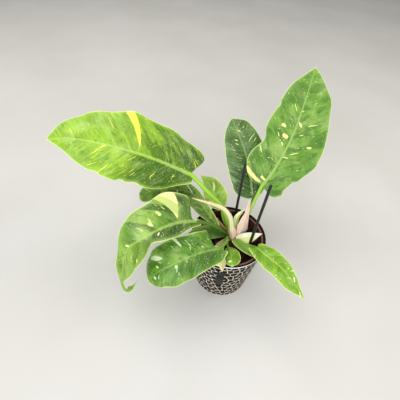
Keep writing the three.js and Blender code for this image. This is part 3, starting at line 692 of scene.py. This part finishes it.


# Leaf finish: greens darker in patches and towards the base, a painted sheen of soft pale clouds
# that stand in for reflections of the lights, pale flecks, streaks and marks, the midrib and a thin
# pale margin. Shade is how strong the patches are at the base and at the tip, and how much deeper
# the whole base is
def leafFinish(name, look, under=False):
    surface = Finish(name, {**tissue, **skin["below" if under else "top"]})
    run, station, across, edge, rib, mark = [surface.attribute(layer) for layer in layerNames]
    out = surface.math("ABSOLUTE", across)
    bent = surface.times(surface.times(out, out), blade["veinBend"] / mm)
    vein = surface.math("SUBTRACT", station, surface.times(out, blade["veinSlant"]))
    vein = surface.math("SUBTRACT", vein, bent)
    broad = surface.vector(vein, surface.times(across, skin["broad"]), look["seed"])
    fine = surface.vector(vein, surface.times(across, skin["fine"]), look["seed"])
    place = surface.place()

    atBase, atTip, deeper = look["shade"]
    greens = surface.mix(surface.pattern(place, skin["cloud"]), look["mid"], look["light"])
    greens = surface.mix(surface.ease(run, *skin["deepBase"], deeper), greens, look["deep"])
    dim = surface.times(surface.ease(across, *skin["leftSide"]), surface.ease(run, *skin["leftEnds"]))
    greens = surface.mix(surface.times(dim, look.get("leftShade", 0)), greens, look["deep"])
    # painted sheen: pale clouds mixed over the greens in place of the lights' reflections on the glossy blade
    greens = surface.mix(surface.pattern(place, skin["waxy"]), greens, skin["bloom"])
    patches = surface.ease(run, *skin["patchEnds"], atBase, atTip)
    patches = surface.times(surface.pattern(broad, skin["patches"]), patches)
    greens = surface.mix(patches, greens, look["deep"])
    mottled = surface.pattern(place, skin["mottlePlaces"])
    mottled = surface.times(surface.pattern(broad, skin["mottle"]), mottled)
    greens = surface.mix(mottled, greens, look["deep"])
    strands = surface.pattern(place, skin["strandPlaces"])
    strands = surface.times(surface.pattern(fine, skin["strands"]), strands)
    greens = surface.mix(strands, greens, look["light"])
    greens = surface.mix(surface.ease(edge, *skin["paleEdge"]), greens, look["light"])
    greens = surface.mix(surface.pattern(broad, skin["flecks"]), greens, look["light"])

    bar, lower, rise = skin["streakBar"]
    bar -= lower * look["streaks"]
    streaks = surface.pattern(fine, (*skin["streaks"], bar, bar + rise, 1))
    streaks = surface.times(streaks, surface.pattern(place, skin["streakPlaces"]))
    raggedScale, raggedDepth = skin["ragged"]
    ragged = surface.math("SUBTRACT", surface.noise(fine, raggedScale), 0.5)
    marked = surface.ease(surface.math("MULTIPLY_ADD", ragged, raggedDepth, mark), *skin["markEdge"])
    pale = surface.math("MAXIMUM", streaks, surface.pattern(place, skin["dots"]))
    pale = surface.math("MAXIMUM", pale, marked)
    washed = surface.pattern(fine, (*skin["washed"], look.get("washed", 0.2)))
    body = surface.mix(pale, greens, surface.mix(washed, look["cream"], look["light"]))

    ribTone = surface.mix(0.3, look["light"], skin["ribTone"])
    body = surface.mix(surface.ease(rib, *skin["ribEdge"], look.get("ribPale", 0.85)), body, ribTone)
    body = surface.mix(surface.ease(edge, *skin["margin"]), body, skin["marginTone"])
    if under:
        body = surface.mix(0.45, body, skin["under"])
    grain = surface.times(surface.noise(place, *skin["grain"]), 0.5)
    surface.bump(surface.math("ADD", grain, surface.math("ADD", strands, patches)), *skin["bump"])
    gloss = surface.ease(surface.noise(place, *skin["gloss"]), *skin["glossEnds"])
    return surface.finish(body, None if under else gloss)


def marginFinish(name):
    surface = Finish(name, skin["rim"])
    return surface.finish(surface.mix(surface.noise(surface.place(), 300), *skin["rimTones"]))


def stalkFinish(name, look):
    surface = Finish(name, {**tissue, **skin["stalk"]})
    fibres = surface.vector(surface.attribute("station"), surface.attribute("across"), look["seed"])
    stripes = surface.pattern(fibres, skin["stripes"])
    colour = surface.mix(surface.times(stripes, 0.3), look["stalkTone"], look["light"])
    colour = surface.mix(surface.ease(surface.attribute("run"), *skin["stalkFoot"]), colour, look["deep"])
    surface.bump(stripes, *skin["stalkBump"])
    return surface.finish(colour)


def makeLeaf(name, leaf):
    bm, layers = newBlade()
    rib = Rail(leaf["rib"])
    addBlade(bm, layers, leaf, rib, leaf["stalkRadius"] * blade["ribHalf"] * 0.8, blade["ribDepth"])
    stalk = Rail([*leaf["stalk"], leaf["rib"][0], rib.at(leaf["stalkRadius"] / rib.length)])
    steps = 60
    path = stalk.at(np.linspace(0, 1, steps + 1))
    onward = np.linspace(leaf["stalkRadius"] / rib.length, 0.9, steps)[1:]
    place, up, _ = ribFrame(rib, leaf["face"], onward)
    shrink = leaf["stalkRadius"] * (1 - onward) ** 0.8 * 0.8 + 0.2
    path = np.vstack([path, place - up * (shrink * 0.75)[:, None]])
    along = np.linspace(0, 1, steps + 1)
    radius = leaf["stalkRadius"] * (1 + 0.35 * np.exp(-along * 6))
    radius = np.concatenate([radius, shrink])
    upward = np.vstack([np.repeat(up[:1], steps + 1, 0), up])
    addTube(bm, layers, path, radius, upward, 20, 3)
    bmesh.ops.recalc_face_normals(bm, faces=bm.faces)
    look = camelName(name)
    materials = [leafFinish(look + "Top", leaf), leafFinish(look + "Under", leaf, under=True),
                 marginFinish(look + "Margin"), stalkFinish(look + "Stalk", leaf)]
    addPiece(look, bm, materials, [name])


def camelName(name):
    first, *others = name.split("_")
    return first + "".join(word.capitalize() for word in others)


# Sheaths that wrapped the young leaves, in the same terms as the leaves, and their colours from
# the foot to the tip, at the margins and, for a sheath of two colours, on its left half
sheathForm = {
    "rows": 72, "columns": 22, "curl": 20, "lobes": (0, 0), "sweep": 0.03, "waves": 2, "phase": (0, 0.3),
    "round": (1, 1), "tip": 0, "notches": [], "marks": [], "relief": 0.25, "veinScale": 0.5,
}
sheaths = {
    "sheath_long": {
        **sheathForm,
        "rib": [(8, 1, 103), (6, 6, 118), (1, 13, 142), (-12, 17, 160), (-33, 16, 170), (-64, 21, 172)],
        "face": [(0, -0.9, 0.3), (0.5, -0.8, 0.3), (0.3, -0.5, 1), (0.2, -0.5, 1), (0, -0.4, 1)],
        "left": [4, 9, 7, 7, 7, 6, 5, 4, 3, 2, 1.5],
        "right": [4, 14, 9, 7, 7, 6, 5, 4, 3, 2, 1.5],
        "foldLeft": (-35, -35, -20), "foldRight": (-35, -35, -20), "wave": 0, "slot": "pink_sheath",
        "footColour": (255, 196, 178), "bodyColour": (255, 250, 190), "tipColour": (224, 230, 120),
        # Its dark olive left half is partly the green inner side of the fold and partly painted shade inside
        # it
        "marginColour": (252, 196, 176), "leftColour": (122, 144, 56), "footEnds": (0.1, 0.2),
        "marginWidth": 3.5, "leftFrom": -3.5, "seed": 11.0,
    },
    "sheath_pink": {
        **sheathForm,
        "rib": [(18, 9, 103), (22, 17, 128), (26, 30, 152), (26, 37, 166)],
        "face": [(0.1, -0.9, 0.2), (0.1, -0.9, 0.3), (0.1, -0.9, 0.5)],
        "left": [4, 6, 8, 7, 6, 4, 3, 2],
        "right": [8, 17, 15, 12, 9, 6, 4, 2],
        "foldLeft": (-25, -25, -20), "foldRight": (-25, -25, -20), "wave": 0.5, "slot": "pink_sheath",
        "footColour": (252, 214, 198), "bodyColour": (255, 206, 190), "tipColour": (246, 180, 156),
        "marginColour": (252, 226, 208), "leftColour": (250, 200, 182), "seed": 12.0,
    },
    "sheath_cream": {
        **sheathForm,
        "rib": [(14, 3, 104), (27, 1, 112), (41, 2, 119), (53, 4, 124)],
        "face": [(0, -0.4, 1), (0, -0.4, 1), (0, -0.3, 1)],
        "left": [5, 7, 8, 8, 7, 5, 3],
        "right": [5, 11, 13, 12, 9, 6, 3],
        "foldLeft": (10, 10, 5), "foldRight": (10, 10, 5), "wave": 0.5, "slot": "cream_sheath",
        "footColour": (176, 192, 88), "bodyColour": (212, 218, 130), "tipColour": (244, 242, 212),
        "marginColour": (242, 238, 196), "leftColour": (242, 242, 210), "seed": 13.0,
    },
    "sheath_green": {
        **sheathForm,
        "rib": [(10, -1, 105), (22, -16, 110), (32, -27, 114), (42, -40, 119.5)],
        "face": [(0.3, -0.3, 1), (0.3, -0.3, 1), (0.3, -0.3, 1)],
        "left": [5, 8, 9, 9, 7, 4],
        "right": [5, 8, 9, 9, 7, 4],
        "foldLeft": (30, 30, 20), "foldRight": (30, 30, 20), "wave": 0.5, "slot": "bright_leaf",
        "footColour": (130, 162, 50), "bodyColour": (112, 156, 36), "tipColour": (122, 162, 44),
        "marginColour": (200, 214, 130), "leftColour": (92, 138, 30), "seed": 14.0,
    },
    "sheath_left": {
        **sheathForm,
        "rib": [(-4, 8, 104), (-14, 7, 107), (-27, 4, 112), (-42, -2, 121), (-65, -9, 123)],
        "face": [(0, -0.4, 1), (0, -0.4, 1), (0, -0.4, 1)],
        "left": [3, 6, 9, 11, 11, 9, 6],
        "right": [3, 5, 7, 9, 10, 9, 6],
        "foldLeft": (20, 20, 10), "foldRight": (20, 20, 10), "wave": 1, "slot": "leaf",
        "footColour": (84, 118, 44), "bodyColour": (92, 138, 44), "tipColour": (104, 150, 50),
        "marginColour": (150, 184, 80), "leftColour": (84, 128, 42), "seed": 15.0,
    },
    "sheath_front": {
        **sheathForm,
        "rib": [(-2, 0, 104), (-12, -16, 110), (-16, -34, 118), (-15, -50, 124), (-11, -62, 126),
                (-9, -70, 121)],
        "face": [(0, 0, 1), (0, -0.3, 1), (0, -0.5, 1)],
        "left": [3, 5, 7, 8, 9, 9, 7],
        "right": [3, 4, 6, 7, 7, 6, 5],
        "foldLeft": (20, 20, 10), "foldRight": (20, 20, 10), "wave": 0.5, "slot": "cream_sheath",
        "footColour": (140, 150, 84), "bodyColour": (176, 168, 120), "tipColour": (206, 188, 138),
        "marginColour": (222, 212, 160), "leftColour": (164, 156, 112), "seed": 16.0,
    },
    "sheath_back": {
        **sheathForm,
        "rib": [(12, 17, 104), (11, 22, 118), (12, 27, 131), (22, 35, 145)],
        "face": [(0.2, -0.8, 0.3), (0.2, -0.8, 0.4), (0.2, -0.6, 0.7)],
        "left": [4, 5, 5, 5, 3],
        "right": [4, 6, 6, 5, 3],
        "foldLeft": (-20, -20, -20), "foldRight": (-20, -20, -20), "wave": 0, "slot": "cream_sheath",
        "footColour": (150, 176, 84), "bodyColour": (186, 206, 112), "tipColour": (222, 226, 150),
        "marginColour": (240, 236, 176), "leftColour": (250, 248, 184), "seed": 17.0,
    },
    "sheath_old": {
        **sheathForm,
        "rib": [(1, 15, 103), (-13, 16, 118), (-21, 24, 128)],
        "face": [(-0.3, -0.8, 0.5), (-0.3, -0.8, 0.5), (-0.3, -0.8, 0.5)],
        "left": [4, 5, 5, 4, 2],
        "right": [4, 5, 5, 4, 2],
        "foldLeft": (20, 20, 20), "foldRight": (20, 20, 20), "wave": 0.8, "slot": "paper_sheath",
        "footColour": (128, 92, 60), "bodyColour": (152, 116, 76), "tipColour": (118, 84, 54),
        "marginColour": (176, 142, 96), "leftColour": (140, 104, 66), "seed": 18.0,
    },
}


sheathSkin = {
    "shader": {"Roughness": 0.42, "Coat Weight": 0.1, "Coat Roughness": 0.3, "Subsurface Weight": 0.7,
               "Subsurface Scale": 1.0, "Subsurface Radius": (0.004, 0.003, 0.002)},
    "stretch": 0.08, "fibres": (1100, 3, 0.6, 0.35, 0.68, 1), "bump": (0.25, 0.0004), "footEnds": (0.0, 0.35),
    "tipEnds": (0.45, 0.95), "marginWidth": 1.6, "marginShare": 0.85, "leftFrom": 0.6,
    "leftWidth": 1.8, "leftShare": 0.8,
}


def sheathFinish(name, look):
    look = {**sheathSkin, **look}
    surface = Finish(name, look["shader"])
    run, across = surface.attribute("run"), surface.attribute("across")
    along = surface.times(surface.attribute("station"), look["stretch"])
    fibre = surface.pattern(surface.vector(along, across, look["seed"]), look["fibres"])
    colour = surface.mix(surface.ease(run, *look["footEnds"]), look["footColour"], look["bodyColour"])
    colour = surface.mix(surface.ease(run, *look["tipEnds"]), colour, look["tipColour"])
    width = look["marginWidth"] * mm
    margin = surface.ease(surface.attribute("edge"), width, width / 4, 0, look["marginShare"])
    colour = surface.mix(margin, colour, look["marginColour"])
    leftFrom, leftWidth = look["leftFrom"] * mm, look["leftWidth"] * mm
    left = surface.ease(across, leftFrom, leftFrom - leftWidth, 0, look["leftShare"])
    colour = surface.mix(left, colour, look["leftColour"])
    colour = surface.mix(surface.times(fibre, 0.1), colour, look["footColour"])
    surface.bump(fibre, *look["bump"])
    return surface.finish(colour)


def makeSheath(name, sheath):
    bm, layers = newBlade()
    addBlade(bm, layers, sheath, Rail(sheath["rib"]), 0.8, 0.3)
    bmesh.ops.recalc_face_normals(bm, faces=bm.faces)
    skin = sheathFinish(camelName(name) + "Skin", sheath)
    addPiece(camelName(name), bm, [skin, skin, skin], [name])


# A closed ring of skin: a profile of radius and height, turned once round the upright axis
def turned(bm, profile, steps, closed=False):
    verts = [bm.verts.new((r * mm, 0, z * mm)) for r, z in profile]
    ends = list(zip(verts, verts[1:])) + ([(verts[-1], verts[0])] if closed else [])
    edges = [bm.edges.new(pair) for pair in ends]
    bmesh.ops.spin(bm, geom=[*verts, *edges], cent=(0, 0, 0), axis=(0, 0, 1), angle=2 * math.pi,
                   steps=steps, use_merge=True)
    bmesh.ops.remove_doubles(bm, verts=bm.verts, dist=1e-7)
    bmesh.ops.recalc_face_normals(bm, faces=bm.faces)


# Points of a quarter round from one direction to another, in degrees
def arc(centre, radius, start, end, steps=6):
    turns = [math.radians(start + (end - start) * k / steps) for k in range(steps + 1)]
    return [(centre[0] + radius * math.cos(a), centre[1] + radius * math.sin(a)) for a in turns]


def evenly(start, end, spacing):
    count = max(1, round(math.dist(start, end) / spacing))
    return [tuple(np.add(start, np.subtract(end, start) * k / count)) for k in range(count + 1)]


# Outer pot: a printed cup with a thin black rim
pot = {
    "height": 118, "rimRadius": 60, "baseRadius": 48, "rimRound": 0.8, "footRound": 1.5, "wall": 2.8,
    "floor": 5, "plainFoot": 2.2, "insideFoot": 8, "insideRound": 3, "steps": 320, "spacing": 1.1,
    "cellsAround": 37, "cellRows": 10, "jitter": 0.27, "lineHalf": 0.64,
    "cornerRound": 0.38, "bareEdge": 3.4,
    "line": (232, 224, 208), "lineShade": (198, 184, 164), "cell": (9, 7, 6), "cellShade": (26, 19, 15),
    # The near-black inside is partly the pot's own dark inner wall and partly painted shade of the gap
    # between the pots
    "inside": (18, 17, 17), "rimTop": (15, 14, 14), "bare": (250, 250, 246), "rimEdge": 0.5,
    "mottle": (160, 3, 0.5, 0.3, 0.7, 1), "speckle": (240, 2, 0.5, 0.45, 0.75, 0.6), "wobble": (300, 0.0014),
}


def potWallRadius(z):
    return pot["baseRadius"] + (pot["rimRadius"] - pot["baseRadius"]) * z / pot["height"]


def potCells():
    girth = 2 * math.pi * (pot["baseRadius"] + pot["rimRadius"]) / 2
    wide, high = girth / pot["cellsAround"], pot["height"] / pot["cellRows"]
    draw = random.Random(4)
    seeds = []
    for row in range(-1, pot["cellRows"] + 2):
        for k in range(pot["cellsAround"]):
            shift = 0.5 if row % 2 else 0.0
            x = (k + shift + draw.uniform(-1, 1) * pot["jitter"]) * wide
            seeds.append((x, (row + 0.5 + draw.uniform(-1, 1) * pot["jitter"]) * high))
    tree = kdtree.KDTree(len(seeds) * 3)
    for turn in (-1, 0, 1):
        for x, y in seeds:
            tree.insert((x + turn * girth, y, 0), 0)
    tree.balance()
    return tree, girth


# Distance from a point to the nearest line between cells, rounded where lines meet
def cellDistance(tree, x, y):
    near = [Vector(found[0]) for found in tree.find_n((x, y, 0), 6)]
    here, total = Vector((x, y, 0)), 0.0
    for other in near[1:]:
        apart = (other - near[0]).length
        away = ((here - other).length_squared - (here - near[0]).length_squared) / (2 * apart)
        total += math.exp(-away / pot["cornerRound"])
    return -pot["cornerRound"] * math.log(total)


def makePot():
    top, rim, wall, bend = [pot[key] for key in ("height", "rimRadius", "wall", "rimRound")]
    foot, low, high = pot["footRound"], pot["plainFoot"], top - bend - 0.2
    profile = [(0, 0), *arc((pot["baseRadius"] - foot, foot), foot, -90, -6, 6)]
    profile += evenly((potWallRadius(low), low), (potWallRadius(high), high), pot["spacing"])
    profile += arc((rim - bend, top - bend), bend, 0, 90, 6)
    profile += arc((rim - wall + bend, top - bend), bend, 90, 180, 6)
    low, curve, high = pot["insideFoot"], pot["insideRound"], top - 3
    profile += evenly((potWallRadius(high) - wall, high), (potWallRadius(low) - wall, low), 10)
    profile += [*arc((potWallRadius(low) - wall - curve, low), curve, 0, -90, 4)[1:], (0, pot["floor"])]
    bm = bmesh.new()
    cell, out = bm.verts.layers.float.new("cell"), bm.verts.layers.float.new("out")
    turned(bm, profile, pot["steps"])
    tree, girth = potCells()
    for v in bm.verts:
        radius, z = math.hypot(v.co.x, v.co.y) / mm, v.co.z / mm
        outside = radius > potWallRadius(z) - wall / 2
        v[out] = (1 if outside else -1) * mm
        if outside:
            around = (math.atan2(v.co.y, v.co.x) / (2 * math.pi) + 0.5) * girth
            v[cell] = cellDistance(tree, around, z) * mm
    addPiece("outerPot", bm, [potFinish()], ["outer_pot"])


def potFinish():
    surface = Finish("potPrint", {"Roughness": 0.6, "Specular IOR Level": 0.12})
    place = surface.place()
    height = surface.node("SeparateXYZ", {0: place}, output=2)
    wobbleScale, wobbleWidth = pot["wobble"]
    wobble = surface.math("SUBTRACT", surface.noise(place, wobbleScale), 0.5)
    wobble = surface.times(wobble, wobbleWidth)
    distance = surface.math("ADD", surface.attribute("cell"), wobble)
    half = pot["lineHalf"] * mm
    inCell = surface.ease(distance, half * 0.85, half * 1.15)
    mottle = surface.pattern(place, pot["mottle"])
    line = surface.mix(mottle, pot["line"], pot["lineShade"])
    dark = surface.mix(surface.pattern(place, pot["speckle"]), pot["cell"], pot["cellShade"])
    colour = surface.mix(inCell, line, dark)
    bareFoot = (pot["height"] - pot["bareEdge"]) * mm
    colour = surface.mix(surface.ease(height, bareFoot, bareFoot + 0.0003), colour, pot["bare"])
    rimFoot = (pot["height"] - pot["rimEdge"]) * mm
    colour = surface.mix(surface.ease(height, rimFoot, rimFoot + 0.0002), colour, pot["rimTop"])
    # partly painted shade: the inner wall made near black for the shade in the gap between the pots, over its
    # own dark colour
    inside = surface.ease(surface.attribute("out"), 0.0003, -0.0003)
    colour = surface.mix(inside, colour, pot["inside"])
    surface.bump(inCell, 0.1, -0.0002)
    return surface.finish(colour, surface.ease(mottle, 0, 1, 0.54, 0.66))


# Label: a plain strip with rounded corners that follows the pot's wall
label = {
    "angle": 7.5, "width": 12, "bottom": 49, "top": 96, "gap": 0.3, "thickness": 0.5, "corner": 1.5,
    "slices": 12, "film": (13, 13, 15), "paler": (24, 24, 27),
}


def makeLabel():
    bm = bmesh.new()
    high = label["top"] - label["bottom"]
    bmesh.ops.create_grid(bm, x_segments=1, y_segments=1, size=0.5)
    bmesh.ops.scale(bm, vec=(label["width"], high, 1), verts=bm.verts)
    bmesh.ops.bevel(bm, geom=bm.verts[:], offset=label["corner"], segments=6, profile=0.5,
                    affect="VERTICES", material=-1)
    for k in range(1, label["slices"]):
        across = label["width"] * (k / label["slices"] - 0.5)
        whole = [*bm.verts, *bm.edges, *bm.faces]
        bmesh.ops.bisect_plane(bm, geom=whole, plane_co=(across, 0, 0), plane_no=(1, 0, 0))
    made = bmesh.ops.extrude_face_region(bm, geom=bm.faces[:])
    front = {e for e in made["geom"] if isinstance(e, bmesh.types.BMVert)}
    for v in bm.verts:
        z = v.co.y + (label["top"] + label["bottom"]) / 2
        radius = potWallRadius(z) + label["gap"] + (label["thickness"] if v in front else 0)
        angle = math.radians(-90 - label["angle"]) + v.co.x / radius
        v.co = Vector((radius * math.cos(angle), radius * math.sin(angle), z)) * mm
    bmesh.ops.recalc_face_normals(bm, faces=bm.faces)
    surface = Finish("labelFilm", {"Roughness": 0.5, "Specular IOR Level": 0.3})
    mottle = surface.noise(surface.place(), 260, 3)
    colour = surface.mix(mottle, label["film"], label["paler"])
    surface.bump(mottle, 0.08, 0.0003)
    addPiece("potLabel", bm, [surface.finish(colour)], ["pot_label"])


# Nursery pot: thin brown plastic with a rolled lip, standing in the outer pot
nursery = {
    "foot": 5.3, "top": 116, "topRadius": 54.3, "footRadius": 43.5, "lip": 2.2, "lipHeight": 5, "wall": 1.2,
    # The lighter lip tone is a painted highlight along the top of the rolled lip
    "steps": 144, "colour": (66, 36, 27), "dusty": (90, 53, 41), "worn": (118, 80, 60), "lipRound": 0.8,
    "dust": (90, 4, 0.6, 0.45, 0.75, 1),
}


def nurseryRadius(z):
    slope = (nursery["topRadius"] - nursery["footRadius"]) / (nursery["top"] - nursery["foot"])
    return nursery["footRadius"] + slope * (z - nursery["foot"])


def makeNursery():
    foot, top, wall = nursery["foot"], nursery["top"], nursery["wall"]
    lipFoot = top - nursery["lipHeight"]
    outer = nursery["topRadius"] + nursery["lip"]
    profile = [(0, foot), (nursery["footRadius"] - 1, foot), (nursery["footRadius"], foot + 1)]
    profile += evenly((nurseryRadius(12), 12), (nurseryRadius(lipFoot), lipFoot), 12)
    profile += [(outer - 1.0, lipFoot), (outer - 0.5, lipFoot + 0.4)]
    bend, high, low = nursery["lipRound"], top - 4, foot + wall
    profile += arc((outer - bend, top - bend), bend, 0, 90, 5)
    profile += arc((nursery["topRadius"] - wall + bend, top - bend), bend, 90, 180, 5)
    profile += evenly((nurseryRadius(high) - wall, high), (nurseryRadius(low) - wall, low), 10)
    profile.append((0, low))
    bm = bmesh.new()
    turned(bm, profile, nursery["steps"])
    surface = Finish("nurseryPlastic", {"Roughness": 0.4, "Specular IOR Level": 0.5})
    place = surface.place()
    height = surface.node("SeparateXYZ", {0: place}, output=2)
    dust = surface.times(surface.pattern(place, nursery["dust"]), 0.5)
    colour = surface.mix(dust, nursery["colour"], nursery["dusty"])
    # painted highlight: the top of the rolled lip made lighter, standing in for the light it catches
    paintedLipHighlight = surface.ease(height, (top - bend) * mm, (top - 0.2) * mm, 0, 0.8)
    colour = surface.mix(paintedLipHighlight, colour, nursery["worn"])
    surface.bump(surface.noise(place, 700, 3), 0.1, 0.0003)
    addPiece("nurseryPot", bm, [surface.finish(colour)], ["nursery_pot"])


# Soil: a lumpy peat bed strewn with chips of bark
soil = {
    "foot": 6.8, "top": 98.6, "radius": 50.9, "rings": 46, "steps": 120, "lump": 1.6, "grain": 0.9,
    "lumpWidth": 14, "grainWidth": 3.2, "crumb": 0.4, "crumbWidth": 1.3,
    "chips": 380, "chipReach": 0.95, "chipLength": (3.5, 9), "chipWidth": (0.4, 0.8),
    "chipFlat": (0.25, 0.55), "chipRagged": 0.14, "chipLean": 0.35, "chipLift": 0.2, "chipBevel": 0.1,
    "seed": 7,
    "peat": (24, 16, 12), "peatLight": (54, 34, 25), "bark": (72, 41, 28), "barkLight": (128, 84, 58),
}


def soilHeight(x, y):
    place = Vector((x, y, soil["seed"]))
    return soil["top"] + sum(soil[key] * noise.noise(place / soil[key + "Width"])
                             for key in ("lump", "grain", "crumb"))


def addChip(bm, draw, shade):
    reach = soil["radius"] * soil["chipReach"] * math.sqrt(draw.random())
    angle = draw.uniform(0, 2 * math.pi)
    x, y = reach * math.cos(angle), reach * math.sin(angle)
    length = draw.uniform(*soil["chipLength"])
    made = bmesh.ops.create_cube(bm, size=1)["verts"]
    shape = (1, draw.uniform(*soil["chipWidth"]), draw.uniform(*soil["chipFlat"]))
    bmesh.ops.scale(bm, vec=shape, verts=made)
    ragged, lean = soil["chipRagged"], soil["chipLean"]
    for v in made:
        v.co += Vector([draw.uniform(-ragged, ragged) for k in range(3)])
    edges = list({e for v in made for e in v.link_edges})
    bevelled = bmesh.ops.bevel(bm, geom=edges, offset=soil["chipBevel"], segments=1, profile=0.5,
                               affect="EDGES", material=-1)
    verts = list({v for f in bevelled["faces"] for v in f.verts} | {v for v in made if v.is_valid})
    leant = Matrix.Rotation(draw.gauss(0, lean), 4, "X") @ Matrix.Rotation(draw.gauss(0, lean), 4, "Y")
    spun = Matrix.Rotation(draw.uniform(0, math.pi), 4, "Z") @ leant
    place = Matrix.Translation(Vector((x, y, soilHeight(x, y) + soil["chipLift"])) * mm)
    bmesh.ops.transform(bm, matrix=place @ spun @ Matrix.Scale(length * mm, 4), verts=verts)
    tone = draw.random()
    for v in verts:
        v[shade] = tone
    for f in {f for v in verts for f in v.link_faces}:
        f.material_index = 1


def makeSoil():
    bm = bmesh.new()
    shade = bm.verts.layers.float.new("shade")
    radius, foot = soil["radius"], soil["foot"]
    profile = [(0, foot), (nurseryRadius(foot) - 1.5, foot), (radius, soil["top"] - 2)]
    profile += [(radius * (1 - k / soil["rings"]), soil["top"]) for k in range(soil["rings"] + 1)]
    turned(bm, profile, soil["steps"])
    for v in bm.verts:
        if v.co.z > (soil["top"] - 1) * mm:
            v.co.z = soilHeight(v.co.x / mm, v.co.y / mm) * mm
    draw = random.Random(soil["seed"])
    for k in range(soil["chips"]):
        addChip(bm, draw, shade)
    bmesh.ops.recalc_face_normals(bm, faces=bm.faces)
    peat = Finish("peat", {"Roughness": 0.9, "Specular IOR Level": 0.25})
    grain = peat.noise(peat.place(), 700, 5, 0.7)
    peat.bump(grain, 0.8, 0.001)
    peatSkin = peat.finish(peat.mix(peat.ease(grain, 0.4, 0.7), soil["peat"], soil["peatLight"]))
    bark = Finish("bark", {"Roughness": 0.8, "Specular IOR Level": 0.3})
    fibres = bark.noise(bark.place(), 900, 4, 0.65)
    tone = bark.mix(bark.attribute("shade"), soil["peat"], soil["bark"])
    lit = bark.mix(bark.ease(fibres, 0.5, 0.75, 0, 0.7), tone, soil["barkLight"])
    bark.bump(fibres, 0.6, 0.0006)
    addPiece("soilAndBark", bm, [peatSkin, bark.finish(lit)], ["soil"])


# Stem: a short ringed crown that the stalks and sheaths rise from
stem = {
    "place": (8, 10), "radius": 9.6, "foot": 84, "top": 105, "rings": 5, "steps": 48,
    "green": (124, 142, 66), "brown": (96, 74, 46),
}


def makeStem():
    low, high = stem["foot"], stem["top"]
    profile = [(0, low), (stem["radius"] - 3, low)]
    count = 36
    for k in range(count + 1):
        share = k / count
        bulge = 0.5 * abs(math.sin(math.pi * stem["rings"] * share))
        shoulder = math.sqrt(max(0.0, 1 - max(0.0, share - 0.72) ** 2 / 0.29**2))
        radius = (stem["radius"] - 0.5 + bulge) * max(shoulder, 0.3)
        profile.append((radius, low + 2 + (high - low - 2) * share))
    profile.append((0, high))
    bm = bmesh.new()
    turned(bm, profile, stem["steps"])
    for v in bm.verts:
        v.co += Vector((v.co.x, v.co.y, 0)) * 0.08 * noise.noise(v.co * 180)
    bmesh.ops.translate(bm, vec=Vector((*stem["place"], 0)) * mm, verts=bm.verts)
    surface = Finish("stemSkin", {"Roughness": 0.55})
    place = surface.place()
    scars = surface.ease(surface.noise(place, 190, 4, 0.6), 0.42, 0.62)
    surface.bump(scars, 0.4, 0.0008)
    addPiece("stem", bm, [surface.finish(surface.mix(scars, stem["green"], stem["brown"]))], ["stem"])


# Stakes: slim black rods with rounded ends
stakes = {
    "stake_1": [(11, 39, 76), (10, 58, 220)],
    "stake_2": [(34, -9, 62), (38, -5, 240)],
}
stake = {"radius": 2.2, "steps": 28, "colour": (20, 20, 22), "worn": (40, 40, 42)}


def makeStake(name, foot, top):
    length = (Vector(top) - Vector(foot)).length
    radius, bend = stake["radius"], 0.9
    profile = [(0, 0), (radius * 0.6, 0.5), (radius, 3)]
    profile += evenly((radius, 10), (radius, length - bend), 12)
    profile += arc((radius - bend, length - bend), bend, 0, 90, 5) + [(0, length)]
    bm = bmesh.new()
    turned(bm, profile, stake["steps"])
    lean = (Vector(top) - Vector(foot)).to_track_quat("Z", "Y").to_matrix().to_4x4()
    bmesh.ops.transform(bm, matrix=Matrix.Translation(Vector(foot) * mm) @ lean, verts=bm.verts)
    surface = Finish(camelName(name) + "Coating", {"Roughness": 0.38, "Specular IOR Level": 0.5})
    mottle = surface.ease(surface.noise(surface.place(), 240, 3), 0.4, 0.75)
    surface.bump(mottle, 0.15, 0.0003)
    skin = surface.finish(surface.mix(mottle, stake["colour"], stake["worn"]))
    addPiece(camelName(name), bm, [skin], [name])


makeCamera()
makeStudio()
for name, leaf in leaves.items():
    makeLeaf(name, leaf)
print("leaves made:", len(leaves))
for name, sheath in sheaths.items():
    makeSheath(name, sheath)
print("sheaths made:", len(sheaths))
makePot()
makeLabel()
makeNursery()
print("pots made")
makeSoil()
makeStem()
for name, ends in stakes.items():
    makeStake(name, *ends)
print("soil, stem and stakes made")
